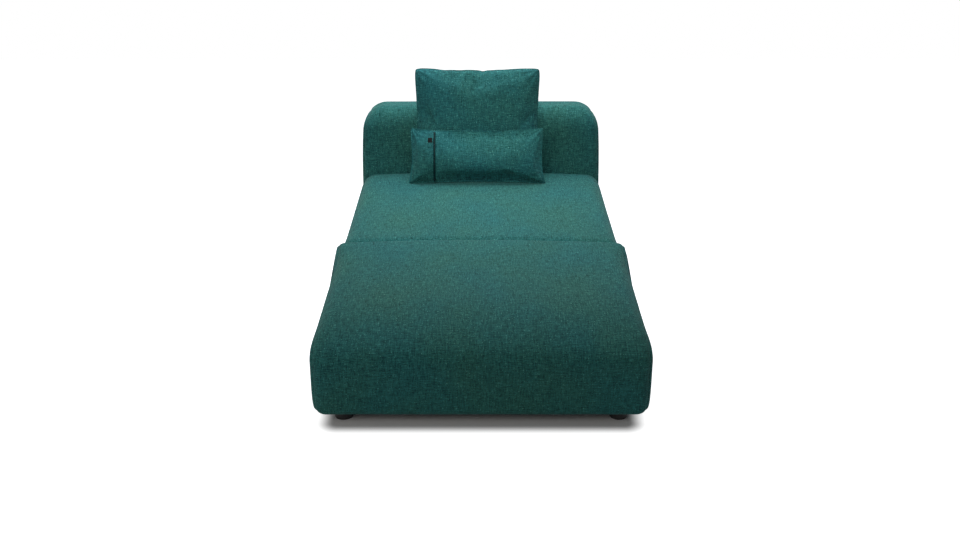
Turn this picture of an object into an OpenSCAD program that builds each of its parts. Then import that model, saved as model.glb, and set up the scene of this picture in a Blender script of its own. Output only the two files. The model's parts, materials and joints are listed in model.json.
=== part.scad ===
// Upholstered lounger: a deep armless chair with a low backrest, a pouf of the same width hooked
// to its front, a loose head cushion and a loose lumbar cushion with a zip.
// The foot end points to -Y, the head end to +Y, and the floor is at z = 0.

/* [Overall] */
// Width over the fullest part of the sides
overall_w = 1120; // [950:10:1250]
// Length of the pouf
pouf_l = 840; // [700:10:950]
// Length of the chair, from the front of the seat to the back of the backrest
chair_l = 1090; // [980:10:1200]
// Depth of the backrest
backrest_d = 235; // [225:5:280]
// Gap between the pouf and the chair
module_gap = 2; // [1:0.5:6]
// Height of the feet
foot_h = 42; // [36:1:70]

/* [Upholstered tops] */
// Height of the pouf at its back, where it is highest
pouf_h = 376; // [350:2:420]
// How much lower the pouf's top lies at its front
pouf_fall = 60; // [20:2:70]
// Height of the seat where it meets the backrest
seat_h = 437; // [410:2:460]
// How much lower the seat's top lies at its front
seat_fall = 66; // [20:2:70]
// Height of the backrest
backrest_h = 723; // [660:2:760]
// How much narrower the backrest is at each side than the seat
backrest_in = 2; // [0:1:12]
// How far the backrest's sides lean in from the seat to the rounded top
backrest_taper = 12; // [0:1:16]
// Crown of the tops from side to side
top_crown = 16; // [4:1:30]
// Height that the rounded top edges of the pouf and the seat take up
edge_drop = 90; // [60:2:110]
// Width that the rounded top edges take up at the sides
edge_side = 70; // [40:2:110]
// Length that the rounding takes up at the front of the pouf
pouf_nose = 220; // [100:5:260]
// Length that the rounding takes up at the front of the seat
seat_nose = 70; // [40:2:110]
// Rounding of the pouf's upper back edge
pouf_tail = 40; // [20:2:60]
// Rounding of the backrest's top, seen from the side
backrest_round = 75; // [50:5:95]
// Rounding of the backrest's top corners, seen from the front
backrest_shoulder = 110; // [80:5:120]
// Radius of the outer upright corners
corner_r = 52; // [30:2:80]
// Radius of the upright corners where the seat meets the backrest
inner_corner_r = 12; // [6:1:20]
// Radius of the pouf's rear upright corners
pouf_corner_r = 24; // [10:2:50]
// Radius of the backrest's front upright corners
backrest_corner_r = 40; // [20:2:52]
// Rounding of the lower edge
hem_r = 20; // [10:1:30]

/* [Padding] */
// Thickness of the padding around the frames
side_pad = 45; // [38:1:55]
// Thickness of the fibre wrap over the foam cores
top_pad = 30; // [20:1:40]
// Gap left between a padded cover and what fills it
fill_gap = 0.5; // [0.3:0.1:0.8]

/* [Frames] */
// Thickness of the rails and panels
rail_t = 22; // [18:1:26]
// Height of the base rails
rail_h = 100; // [80:2:120]
// Side length of the corner blocks
block_w = 62; // [50:1:80]
// Height of the corner blocks
block_h = 45; // [35:1:60]
// How far the upper frame stands back from the face of the backrest
backrest_setback = 90; // [70:5:100]
// Height of the lower, unpadded part of the backrest frame
backrest_open_h = 330; // [260:5:340]
// Height of the backrest frame
backrest_frame_h = 560; // [500:5:580]
// Height of the cross rails in the backrest
cross_rail_h = 60; // [40:2:80]
// Thickness of the fibreboard behind the backrest
board_t = 4; // [3:0.5:6]

/* [Springs and webbing] */
// Diameter of the spring wire
wire_d = 3.8; // [3:0.1:5]
// Number of springs under the seat
spring_n = 5; // [3:1:6]
// Number of bends in each spring
spring_bends = 22; // [16:2:30]
// Length of the straight stretch between two bends
spring_arm = 20; // [16:1:40]
// Width of the elastic webbing
webbing_w = 70; // [50:5:80]
// Thickness of the elastic webbing
webbing_t = 1.2; // [0.8:0.1:2]

/* [Feet and hooks] */
// Diameter of a foot at its top
foot_d = 68; // [50:1:80]
// Diameter of a foot where it meets the floor
foot_tip_d = 60; // [40:1:70]
// Distance of a foot's centre from the front and back of the cover
foot_inset = 84; // [80:1:100]
// Distance of a foot's centre from the sides of the cover
foot_side = 96; // [88:1:104]
// Diameter of the foot bolts
bolt_d = 8; // [6:1:10]
// Width of a hook that ties the pouf to the chair
hook_w = 40; // [30:1:60]
// Thickness of the hook and catch plates
plate_t = 3; // [2:0.5:4]
// Distance of the hooks from the centre line
hook_x = 300; // [200:10:400]

/* [Head cushion] */
// Width of the head cushion along its top seam
head_w = 568; // [450:4:620]
// Height of the head cushion
head_h = 482; // [400:4:520]
// Crown of its front
head_front = 58; // [40:1:70]
// Crown of its back, which rests against the backrest
head_back = 34; // [20:1:40]
// How far its sides pull in between the corners
head_pull = 11; // [4:1:20]
// Lean of the head cushion
head_lean = 7; // [4:0.5:10]
// Sideways place of the head cushion
head_x = -16; // [-60:1:60]

/* [Lumbar cushion] */
// Width of the lumbar cushion along its lower seam
lumbar_w = 600; // [480:4:640]
// Height of the lumbar cushion
lumbar_h = 240; // [200:2:280]
// Crown of its front
lumbar_front = 54; // [40:1:60]
// Crown of its back
lumbar_back = 26; // [16:1:30]
// How far its long seams dip between the corners
lumbar_dip = 8; // [2:1:12]
// Lean of the lumbar cushion
lumbar_lean = 14.5; // [10:0.5:18]
// Sideways place of the lumbar cushion
lumbar_x = -18; // [-60:1:60]

/* [Zip] */
// Place of the zip, as a distance from the middle of the lumbar cushion
zip_x = 192; // [120:4:220]
// Width of the zip's tape
tape_w = 12; // [9:0.5:16]
// Thickness of the tape
tape_t = 0.8; // [0.6:0.1:1.2]
// Width of the closed chain
chain_w = 5; // [4:0.1:7]
// Height of the chain above the tape
chain_h = 1.4; // [1:0.1:2]
// Length of the slider
slider_l = 11; // [9:0.5:14]
// Length of the pull
pull_l = 12; // [10:0.5:14]
// Side length of the folded label
label_w = 22; // [14:1:30]

/* [Hidden] */

// Overrun of cuts, gap between face and face, and the finest gap of moving parts
cut = 1;
touch_gap = 0.3;
run_gap = 0.05;

// Places along the length
total_l = pouf_l + module_gap + chair_l;
pouf_y0 = -total_l / 2;
pouf_y1 = pouf_y0 + pouf_l;
seat_y0 = pouf_y1 + module_gap;
back_y1 = total_l / 2;
back_y0 = back_y1 - backrest_d;
seat_y1 = back_y0 - fill_gap;
half_w = overall_w / 2;

// Inner faces of the padding, where the frames stand
frame_gap = 0.8;
frame_in = side_pad + frame_gap;
frame_x = half_w - frame_in;
rail_top = foot_h + rail_h;

// Shares of the height at which the upright walls are shaped, and there the shares of the hem's
// rounding and of the taper
wall_height_shares = [0, 0.06, 0.18, 0.45, 0.7, 0.87, 1];
wall_hem_shares = [1, 0.4, 0.15, 0.03, 0, 0, 0];
wall_taper_shares = [0, 0, 0, 0.05, 0.24, 0.57, 1];
// Least radius of an upright corner
least_r = 0.2;
// Shares of the way from the rim to the middle of a top
top_shares = [0.78, 0.54, 0.28];
round_steps = 5;

// Height of each top at a place on it
function pouf_top(x, y) =
    pouf_h - pouf_fall * pow(max(0, pouf_y1 - pouf_tail - y) / pouf_l, 2)
    - top_crown * pow(x / half_w, 2);
function seat_top(x, y) =
    seat_h - seat_fall * (seat_y1 - y) / (seat_y1 - seat_y0) - top_crown * pow(x / half_w, 2);
function back_top(x, y) = backrest_h;

// Upholstered block: [half width, front, back, front corner radius, back corner radius,
// nose, tail, side rounding, edge drop, height of the top, taper of the sides]
pouf_block = [half_w, pouf_y0, pouf_y1, corner_r, pouf_corner_r, pouf_nose, pouf_tail, edge_side,
              edge_drop, function(x, y) pouf_top(x, y), 0];
seat_block = [half_w, seat_y0, seat_y1, corner_r, inner_corner_r, seat_nose, inner_corner_r,
              edge_side, edge_drop, function(x, y) seat_top(x, y), 0];
back_block = [half_w - backrest_in, back_y0, back_y1, backrest_corner_r, corner_r,
              backrest_round, backrest_round, backrest_shoulder, backrest_shoulder,
              function(x, y) back_top(x, y), backrest_taper];

function arc_points(cx, cy, r, start, steps) = [
    for (i = [0:steps])
        [cx + r * cos(start + 90 * i / steps), cy + r * sin(start + 90 * i / steps)]
];
function between(p, q, steps) = [for (i = [1:1:steps - 1]) p + (q - p) * i / steps];

// Rounded rectangle, counter-clockwise from the right, with points along its straight sides
function outline(hw, y0, y1, rf, rb, arc_steps, x_steps, y_steps) =
    let (
        a = arc_points(hw - rb, y1 - rb, rb, 0, arc_steps),
        b = arc_points(rb - hw, y1 - rb, rb, 90, arc_steps),
        c = arc_points(rf - hw, y0 + rf, rf, 180, arc_steps),
        d = arc_points(hw - rf, y0 + rf, rf, 270, arc_steps),
        e = arc_steps
    )
    concat(a, between(a[e], b[0], x_steps), b, between(b[e], c[0], y_steps),
           c, between(c[e], d[0], x_steps), d, between(d[e], a[0], y_steps));

// One level ring of a block, tapered at its sides, inset all round and drawn in by a share of
// its roundings, at a height given by a function
function level(block, taper, inset, shrink, steps, height) =
    let (
        hw = block[0] - taper - inset - shrink * block[7],
        y0 = block[1] + inset + shrink * block[5],
        y1 = block[2] - inset - shrink * block[6],
        rf = max(least_r, block[3] - inset),
        rb = max(least_r, block[4] - inset)
    )
    [for (p = outline(hw, y0, y1, rf, rb, steps[0], steps[1], steps[2])) [p.x, p.y, height(p.x, p.y)]];

// Rings of a block from its lower edge, up its walls and over its rounded rim to its middle
function block_rings(block, pad, floor_z, hem, steps) =
    let (
        top = block[9],
        rim = function(x, y) top(x, y) - pad - block[8],
        walls = [
            for (i = [0:len(wall_height_shares) - 1])
                level(block, block[10] * wall_taper_shares[i], pad + hem * wall_hem_shares[i], 0, steps,
                      function(x, y) floor_z + (rim(x, y) - floor_z) * wall_height_shares[i])
        ],
        rounds = [
            for (i = [1:round_steps])
                let (a = 90 * i / round_steps)
                level(block, block[10], pad, 1 - cos(a), steps,
                      function(x, y) rim(x, y) + block[8] * sin(a))
        ],
        last = rounds[round_steps - 1],
        middle = [0, (block[1] + block[5] + block[2] - block[6]) / 2],
        tops = [
            for (s = top_shares) [
                for (p = last)
                    let (q = middle + ([p.x, p.y] - middle) * s) [q.x, q.y, top(q.x, q.y) - pad]
            ]
        ]
    )
    concat(walls, rounds, tops, [[[middle.x, middle.y, top(middle.x, middle.y) - pad]]]);

// Closed solid through rings of equal length that end in one point
module ring_solid(rings) {
    n = len(rings[0]);
    m = len(rings) - 1;
    base = [for (x = [0, 1, 2]) let (v = [for (p = rings[0]) p[x]]) (min(v) + max(v)) / 2];
    points = concat([for (ring = rings) each ring], [base]);
    faces = concat(
        [for (i = [0:n - 1]) [m * n + 1, i, (i + 1) % n]],
        [for (k = [0:m - 2], i = [0:n - 1]) [k * n + i, (k + 1) * n + i, (k + 1) * n + (i + 1) % n]],
        [for (k = [0:m - 2], i = [0:n - 1]) [k * n + i, (k + 1) * n + (i + 1) % n, k * n + (i + 1) % n]],
        [for (i = [0:n - 1]) [(m - 1) * n + i, m * n, (m - 1) * n + (i + 1) % n]]
    );
    polyhedron(points, faces);
}

fine_steps = [4, 8, 6];
plain_steps = [1, 2, 2];

module padded_shell(block) {
    difference() {
        ring_solid(block_rings(block, 0, foot_h, hem_r, fine_steps));
        ring_solid(block_rings(block_inside(block), side_pad, foot_h - cut, 0, plain_steps));
    }
}

// The space inside a cover keeps the walls' padding and a thinner wrap on top. Its sides are
// upright, its upright corners are sharp and its roundings are smaller by the same amounts.
function block_inside(block) =
    let (top = block[9])
    concat(
        [for (i = [0:2]) block[i]],
        [side_pad, side_pad],
        [for (i = [5:7]) max(cut, block[i] - side_pad)],
        [block[8] - top_pad, function(x, y) top(x, y) + side_pad - top_pad, 0]
    );

// Foam core above a given height, a fill gap smaller than the cover's inside
module foam_core(block, floor_z) {
    ring_solid(block_rings(block_inside(block), side_pad + fill_gap, floor_z, 0, plain_steps));
}

module box(low, high) {
    translate(low) cube(high - low);
}

// Rails and panels
front_rail_y0 = seat_y0 + frame_in;
rear_rail_y1 = seat_y1;
clip_t = 1.5;
clip_l = 14;
clip_flange = 9;
seat_floor_z = rail_top + clip_t + wire_d + clip_t + 2 * touch_gap + fill_gap;

module seat_cover() {
    color("darkslategray") difference() {
        padded_shell(seat_block);
        box([-frame_x, seat_y1 - side_pad - cut, foot_h - cut],
            [frame_x, seat_y1 + cut, seat_floor_z]);
    }
}

module seat_foam() {
    color("khaki") foam_core(seat_block, seat_floor_z);
}

module seat_side_rails() {
    color("burlywood") for (s = [-1, 1]) translate([s * (frame_x - rail_t / 2), 0, 0])
        box([-rail_t / 2, front_rail_y0, foot_h], [rail_t / 2, rear_rail_y1, rail_top]);
}

screw_d = 4.5;
screw_l = 20;
screw_head_d = 9;
screw_head_t = 2.5;
screw_gap = 0.2;
screw_xs = [-hook_w / 3, hook_w / 3];
bolt_gap = 0.3;

module for_hooks() {
    for (s = [-1, 1], x = screw_xs) translate([s * hook_x + x, 0, 0]) children();
}

module screw_bores(y) {
    for_hooks() translate([0, y, foot_h - cut])
        cylinder(d = screw_d + screw_gap, h = screw_l + cut + screw_gap, $fn = 32);
}

module screws(y) {
    for_hooks() translate([0, y, foot_h - plate_t]) {
        cylinder(d = screw_d, h = screw_l, $fn = 32);
        translate([0, 0, -screw_head_t]) cylinder(d = screw_head_d, h = screw_head_t, $fn = 32);
    }
}

module seat_front_rail() {
    color("burlywood") difference() {
        box([rail_t - frame_x, front_rail_y0, foot_h],
            [frame_x - rail_t, front_rail_y0 + rail_t, rail_top]);
        screw_bores(front_rail_y0 + rail_t / 2);
    }
}

frame_bolt_shares = [-0.8, 0, 0.8];
frame_bolt_z = foot_h + rail_h / 2;
washer_t = 1.6;
washer_d = 3 * bolt_d;
nut_w = 1.6 * bolt_d;
nut_h = 0.8 * bolt_d;

module for_frame_bolts() {
    for (s = frame_bolt_shares) translate([s * (frame_x - 2 * rail_t), back_y0, frame_bolt_z])
        rotate([-90, 0, 0]) children();
}

module frame_bolt_bores() {
    for_frame_bolts() cylinder(d = bolt_d + bolt_gap, h = 4 * rail_t, center = true, $fn = 32);
}

module seat_rear_rail() {
    color("burlywood") difference() {
        box([rail_t - frame_x, rear_rail_y1 - rail_t, foot_h],
            [frame_x - rail_t, rear_rail_y1, rail_top]);
        frame_bolt_bores();
    }
}

// Corner block with the bore for a foot bolt and the barrel of a tee nut
barrel_d = bolt_d + 3;
barrel_l = 12;
flange_d = 24;
flange_t = 1.6;

module corner_block(x0, y0, x, y) {
    difference() {
        box([x0, y0, foot_h], [x0 + block_w, y0 + block_w, foot_h + block_h]);
        translate([x, y, foot_h - cut]) cylinder(d = bolt_d + bolt_gap, h = block_h + 2 * cut, $fn = 32);
        translate([x, y, foot_h + block_h - barrel_l - bolt_gap])
            cylinder(d = barrel_d + bolt_gap, h = barrel_l + bolt_gap + cut, $fn = 32);
    }
}

foot_x = half_w - foot_side;
pouf_feet_y = [pouf_y0 + foot_inset, pouf_y1 - foot_inset];
chair_feet_y = [seat_y0 + foot_inset, back_y1 - foot_inset];

module for_feet(ys) {
    for (s = [-1, 1], y = ys) translate([s * foot_x, y, 0]) children();
}

module both_sides() {
    children();
    mirror([1, 0, 0]) children();
}

block_x0 = frame_x - rail_t - block_w;

module seat_corner_blocks() {
    color("peru") both_sides() {
        corner_block(block_x0, front_rail_y0 + rail_t, foot_x, chair_feet_y[0]);
        box([block_x0, rear_rail_y1 - rail_t - block_w, foot_h],
            [block_x0 + block_w, rear_rail_y1 - rail_t, foot_h + block_h]);
    }
}

// Zigzag springs, from a clip on the front rail to a clip on the rear rail
spring_z = rail_top + clip_t + touch_gap / 2 + wire_d / 2;
spring_y0 = front_rail_y0 + rail_t / 2;
spring_room_y1 = rear_rail_y1 - rail_t / 2;
pitch_step = 0.1;
spring_pitch = pitch_step * floor((spring_room_y1 - spring_y0) / spring_bends / pitch_step);
spring_y1 = spring_y0 + spring_bends * spring_pitch;
spring_step = 2 * (frame_x - 2 * rail_t - block_w / 2) / spring_n;

module for_springs() {
    for (i = [0:spring_n - 1]) translate([(i - (spring_n - 1) / 2) * spring_step, 0, 0]) children();
}

module wire_run() {
    rotate([0, 90, 0]) cylinder(d = wire_d, h = spring_arm, center = true, $fn = 24);
}

module wire_bend(side) {
    translate([side * spring_arm / 2, 0, 0]) rotate([0, 0, -side * 90])
        rotate_extrude(angle = 180, $fn = 24) translate([spring_pitch / 2, 0])
            circle(d = wire_d, $fn = 24);
}

module seat_springs() {
    color("silver") for_springs() translate([0, spring_y0, spring_z]) {
        for (i = [0:spring_bends]) translate([0, i * spring_pitch, 0]) wire_run();
        for (i = [0:spring_bends - 1]) translate([0, (i + 0.5) * spring_pitch, 0])
            wire_bend(i % 2 == 0 ? 1 : -1);
    }
}

// Clip: a flange nailed to the rail and a roll that holds the first run of the wire
module clip() {
    difference() {
        union() {
            translate([0, 0, spring_z]) rotate([0, 90, 0])
                cylinder(d = wire_d + touch_gap + 2 * clip_t, h = clip_l, center = true, $fn = 32);
            box([-clip_l / 2, -clip_flange, rail_top], [clip_l / 2, clip_flange, rail_top + clip_t]);
        }
        translate([0, 0, spring_z]) rotate([0, 90, 0])
            cylinder(d = wire_d + touch_gap, h = clip_l + 2 * cut, center = true, $fn = 32);
        box([-clip_l, -rail_t, foot_h], [clip_l, rail_t, rail_top]);
    }
}

module spring_clips() {
    color("dimgray") for_springs() for (y = [spring_y0, spring_y1]) translate([0, y, 0]) clip();
}

// Backrest: two stepped side panels, rails between them, webbing in front and a board behind
panel_y0 = back_y0;
panel_y1 = back_y1 - frame_in;
upper_y0 = back_y0 + backrest_setback;
back_frame_x = back_block[0] - frame_in;
back_inside = block_inside(back_block);
frame_back = inside_back(frame_gap, backrest_frame_h);

module backrest_cover() {
    color("darkslategray") difference() {
        padded_shell(back_block);
        box([-back_frame_x, back_y0 - cut, foot_h - cut],
            [back_frame_x, back_y0 + side_pad + cut, backrest_open_h + frame_gap]);
    }
}

// Quarter of a rounding at the top of the backrest's inside, from its rim up: [inward, height]
function inside_round(inward, gap) =
    let (upward = back_inside[8], rim = backrest_h - top_pad - gap - upward)
    [for (i = [0:round_steps])
        let (a = 90 * i / round_steps) [inward * (1 - cos(a)), rim + upward * sin(a)]];

// Back of the backrest's inside from its rim up to a height, as far as that lies in the rounding
function inside_back(gap, high) =
    let (
        y1 = back_y1 - side_pad - gap,
        round = inside_round(back_inside[6], gap),
        inward = lookup(high, [for (p = round) [p.y, p.x]])
    )
    concat([for (p = round) if (p.y < high) [y1 - p.x, p.y]], [[y1 - inward, high]]);

// The backrest's core stands in front of the upper frame and reaches over it to the back
module backrest_foam() {
    y0 = back_y0 + side_pad + fill_gap;
    y1 = back_y1 - side_pad - fill_gap;
    x1 = back_block[0] - side_pad - fill_gap;
    front = inside_round(back_inside[5], fill_gap);
    back = inside_round(back_inside[6], fill_gap);
    side = inside_round(back_inside[7], fill_gap);
    low = backrest_frame_h + fill_gap;
    back_low = inside_back(fill_gap, low);
    color("khaki") intersection() {
        rotate([90, 0, 90]) linear_extrude(overall_w, center = true) polygon(concat(
            [for (p = front) [y0 + p.x, p.y]],
            [for (i = [round_steps:-1:0]) if (back[i].y > low) [y1 - back[i].x, back[i].y]],
            [back_low[len(back_low) - 1],
             [upper_y0 - webbing_t - fill_gap, low],
             [upper_y0 - webbing_t - fill_gap, backrest_open_h + fill_gap],
             [y0, backrest_open_h + fill_gap]]
        ));
        translate([0, back_y1, 0]) rotate([90, 0, 0]) linear_extrude(backrest_d) polygon(concat(
            [[-x1, foot_h]],
            [for (p = side) [p.x - x1, p.y]],
            [for (i = [round_steps:-1:0]) [x1 - side[i].x, side[i].y]],
            [[x1, foot_h]]
        ));
    }
}

module backrest_side_panels() {
    color("burlywood") for (s = [-1, 1]) translate([s * (back_frame_x - rail_t / 2), 0, 0])
        rotate([90, 0, 90]) linear_extrude(rail_t, center = true) polygon(concat(
            [[panel_y0, foot_h], [panel_y1, foot_h]],
            frame_back,
            [[upper_y0, backrest_frame_h], [upper_y0, backrest_open_h], [panel_y0, backrest_open_h]]
        ));
}

module backrest_lower_rails() {
    color("burlywood") {
        difference() {
            box([rail_t - back_frame_x, panel_y0, foot_h],
                [back_frame_x - rail_t, panel_y0 + rail_t, rail_top]);
            frame_bolt_bores();
        }
        box([rail_t - back_frame_x, panel_y1 - board_t - rail_t, foot_h],
            [back_frame_x - rail_t, panel_y1 - board_t, rail_top]);
    }
}

module backrest_cross_rails() {
    color("burlywood") for (z = [backrest_open_h, backrest_frame_h - cross_rail_h])
        box([rail_t - back_frame_x, upper_y0, z],
            [back_frame_x - rail_t, upper_y0 + rail_t, z + cross_rail_h]);
}

back_belt_n = 6;
back_belt_step = 2 * (back_frame_x - rail_t) / back_belt_n;
belt_end = 10;

module backrest_webbing() {
    color("dimgray") for (i = [0:back_belt_n - 1])
        translate([(i - (back_belt_n - 1) / 2) * back_belt_step, 0, 0])
            box([-webbing_w / 2, upper_y0 - webbing_t, backrest_open_h + belt_end],
                [webbing_w / 2, upper_y0, backrest_frame_h - belt_end]);
}

module backrest_board() {
    n = len(frame_back);
    color("tan") rotate([90, 0, 90]) linear_extrude(2 * (back_frame_x - rail_t), center = true)
        polygon(concat(
            [[panel_y1 - board_t, foot_h], [panel_y1, foot_h]],
            frame_back,
            [for (i = [1:n]) [frame_back[n - i].x - board_t, frame_back[n - i].y]]
        ));
}

module backrest_corner_blocks() {
    color("peru") both_sides()
        corner_block(back_frame_x - rail_t - block_w, panel_y1 - board_t - rail_t - block_w,
                     foot_x, chair_feet_y[1]);
}

// Bolts that join the seat frame to the backrest frame
module frame_bolts() {
    grip = 2 * rail_t + fill_gap;
    shank = grip + washer_t + nut_h;
    color("gray") for_frame_bolts() translate([0, 0, rail_t]) {
        cylinder(d = washer_d, h = washer_t, $fn = 48);
        translate([0, 0, washer_t]) cylinder(d = nut_w, h = nut_h, $fn = 6);
        translate([0, 0, -shank]) cylinder(d = bolt_d, h = shank, $fn = 32);
    }
}

module frame_nuts() {
    color("silver") for_frame_bolts() translate([0, 0, -rail_t - fill_gap]) difference() {
        union() {
            translate([0, 0, -washer_t]) cylinder(d = washer_d, h = washer_t, $fn = 48);
            translate([0, 0, -washer_t - nut_h]) cylinder(d = nut_w, h = nut_h, $fn = 6);
        }
        translate([0, 0, -washer_t - nut_h - cut])
            cylinder(d = bolt_d + 2 * run_gap, h = washer_t + nut_h + 2 * cut, $fn = 32);
    }
}

// Thin black cloth under a frame, cut out round the feet and the hook plates
cloth_t = 0.8;
cloth_in = 4;
cloth_room = 3;

module dust_cloth(y0, y1, ys, plate_y, plate_w) {
    notch = foot_d + 2 * cloth_room;
    difference() {
        box([cloth_in - frame_x, y0 + cloth_in, foot_h - cloth_t],
            [frame_x - cloth_in, y1 - cloth_in, foot_h]);
        for_feet(ys) translate([0, 0, foot_h]) cube([notch, notch, 4 * cloth_t], center = true);
        for (s = [-1, 1]) translate([s * hook_x, plate_y, foot_h])
            cube([plate_w + 2 * cloth_room, 2 * (rail_t + cloth_room), 4 * cloth_t], center = true);
    }
}

module chair_dust_cover() {
    color("black") dust_cloth(front_rail_y0, panel_y1, chair_feet_y, front_rail_y0 + rail_t / 2,
                              catch_w);
}

// Foot: a tapered disc with a rounded sole and a recess for the bolt head
foot_round = 4;
recess_d = 24;
recess_h = 10;
bolt_head_h = 6;
bolt_head_d = 2 * bolt_d;

module foot() {
    difference() {
        rotate_extrude($fn = 64) polygon(concat(
            [[0, foot_h], [0, 0]],
            [for (a = [0:15:90])
                [foot_tip_d / 2, foot_round] + foot_round * [sin(a) - 1, -cos(a)]],
            [[foot_d / 2, foot_h - foot_round], [foot_d / 2, foot_h]]
        ));
        translate([0, 0, -cut]) cylinder(d = recess_d, h = recess_h + cut, $fn = 48);
        cylinder(d = bolt_d + bolt_gap, h = foot_h + cut, $fn = 32);
    }
}

module foot_bolt() {
    translate([0, 0, recess_h - bolt_head_h]) cylinder(d = bolt_head_d, h = bolt_head_h, $fn = 32);
    translate([0, 0, recess_h]) cylinder(d = bolt_d, h = foot_h + block_h - recess_h, $fn = 32);
}

module tee_nut() {
    translate([0, 0, foot_h + block_h]) difference() {
        union() {
            cylinder(d = flange_d, h = flange_t, $fn = 48);
            translate([0, 0, -barrel_l]) cylinder(d = barrel_d, h = barrel_l + flange_t, $fn = 32);
        }
        translate([0, 0, -barrel_l - cut])
            cylinder(d = bolt_d + 2 * run_gap, h = barrel_l + flange_t + 2 * cut, $fn = 32);
    }
}

module chair_feet() {
    color("black") for_feet(chair_feet_y) foot();
}

module chair_foot_bolts() {
    color("gray") for_feet(chair_feet_y) foot_bolt();
}

module chair_tee_nuts() {
    color("silver") for_feet(chair_feet_y) tee_nut();
}

// Catch plates under the chair's front and hook plates under the pouf's back. The hook's tongue
// drops into the catch's slot.
hook_y = pouf_y1 - side_pad / 2;
hook_gap = 0.5;
catch_drop = 2 * plate_t;
tongue_l = catch_drop + 2 * plate_t;
catch_lip = 10;
catch_w = hook_w + 2 * catch_lip;
catch_y1 = front_rail_y0 + rail_t;
catch_bend = pouf_y1 + module_gap;

module catch_profile() {
    polygon([
        [catch_y1, foot_h - plate_t], [catch_y1, foot_h], [catch_bend + plate_t, foot_h],
        [catch_bend, foot_h - catch_drop], [hook_y - catch_lip, foot_h - catch_drop],
        [hook_y - catch_lip, foot_h - catch_drop - plate_t],
        [catch_bend + plate_t / 2, foot_h - catch_drop - plate_t],
        [catch_bend + 3 * plate_t / 2, foot_h - plate_t]
    ]);
}

module connector_catches() {
    color("slategray") difference() {
        for (s = [-1, 1]) translate([s * hook_x, 0, 0]) rotate([90, 0, 90])
            linear_extrude(catch_w, center = true) catch_profile();
        for (s = [-1, 1]) translate([s * hook_x, hook_y, foot_h - catch_drop])
            cube([hook_w + 2 * hook_gap, plate_t + 2 * hook_gap, 4 * plate_t], center = true);
        for_hooks() translate([0, front_rail_y0 + rail_t / 2, foot_h - plate_t - cut])
            cylinder(d = screw_d + screw_gap, h = plate_t + 2 * cut, $fn = 32);
    }
}

module catch_screws() {
    color("silver") screws(front_rail_y0 + rail_t / 2);
}

// Pouf
pouf_rail_y0 = pouf_y0 + frame_in;
pouf_rail_y1 = pouf_y1 - frame_in;
pouf_floor_z = rail_top + 2 * webbing_t + fill_gap;

module pouf_cover() {
    color("teal") padded_shell(pouf_block);
}

module pouf_foam() {
    color("khaki") foam_core(pouf_block, pouf_floor_z);
}

module pouf_side_rails() {
    color("burlywood") for (s = [-1, 1]) translate([s * (frame_x - rail_t / 2), 0, 0])
        box([-rail_t / 2, pouf_rail_y0, foot_h], [rail_t / 2, pouf_rail_y1, rail_top]);
}

module pouf_end_rails() {
    color("burlywood") difference() {
        for (y = [pouf_rail_y0, pouf_rail_y1 - rail_t])
            box([rail_t - frame_x, y, foot_h], [frame_x - rail_t, y + rail_t, rail_top]);
        screw_bores(pouf_rail_y1 - rail_t / 2);
    }
}

module pouf_corner_blocks() {
    color("peru") both_sides() {
        corner_block(block_x0, pouf_rail_y0 + rail_t, foot_x, pouf_feet_y[0]);
        corner_block(block_x0, pouf_rail_y1 - rail_t - block_w, foot_x, pouf_feet_y[1]);
    }
}

long_belt_n = 6;
cross_belt_n = 5;

module belts(n, span, length) {
    for (i = [0:n - 1]) translate([(i - (n - 1) / 2) * span / n, 0, 0])
        translate([-webbing_w / 2, -length / 2, 0]) cube([webbing_w, length, webbing_t]);
}

module pouf_long_webbing() {
    color("dimgray") translate([0, (pouf_rail_y0 + pouf_rail_y1) / 2, rail_top])
        belts(long_belt_n, 2 * (frame_x - rail_t), pouf_rail_y1 - pouf_rail_y0 - belt_end);
}

module pouf_cross_webbing() {
    color("gray") translate([0, (pouf_rail_y0 + pouf_rail_y1) / 2, rail_top + webbing_t]) rotate([0, 0, 90])
        belts(cross_belt_n, pouf_rail_y1 - pouf_rail_y0 - 2 * rail_t, 2 * frame_x - belt_end);
}

module pouf_dust_cover() {
    color("black") dust_cloth(pouf_rail_y0, pouf_rail_y1, pouf_feet_y, pouf_rail_y1 - rail_t / 2,
                              hook_w);
}

module pouf_feet() {
    color("black") for_feet(pouf_feet_y) foot();
}

module pouf_foot_bolts() {
    color("gray") for_feet(pouf_feet_y) foot_bolt();
}

module pouf_tee_nuts() {
    color("silver") for_feet(pouf_feet_y) tee_nut();
}

module connector_hooks() {
    color("slategray") difference() {
        for (s = [-1, 1]) translate([s * hook_x, 0, 0]) rotate([90, 0, 90])
            linear_extrude(hook_w, center = true) polygon([
                [pouf_rail_y1 - rail_t, foot_h], [pouf_rail_y1 - rail_t, foot_h - plate_t],
                [hook_y - plate_t / 2, foot_h - plate_t], [hook_y - plate_t / 2, foot_h - tongue_l],
                [hook_y + plate_t / 2, foot_h - tongue_l], [hook_y + plate_t / 2, foot_h]
            ]);
        for_hooks() translate([0, pouf_rail_y1 - rail_t / 2, foot_h - plate_t - cut])
            cylinder(d = screw_d + screw_gap, h = plate_t + 2 * cut, $fn = 32);
    }
}

module hook_screws() {
    color("silver") screws(pouf_rail_y1 - rail_t / 2);
}

// Loose cushion: a grid of crowned columns over a seam outline whose sides pull in and whose
// long seams dip. Every column is an arc of a circle from the lower seam to the upper seam.
// A cushion is [half width, half height, front crown, back crown, side pull, seam dip].
head_pad = [head_w / 2, head_h / 2, head_front, head_back, head_pull, head_pull];
lumbar_pad = [lumbar_w / 2, lumbar_h / 2, lumbar_front, lumbar_back, lumbar_dip, lumbar_dip];

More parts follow.
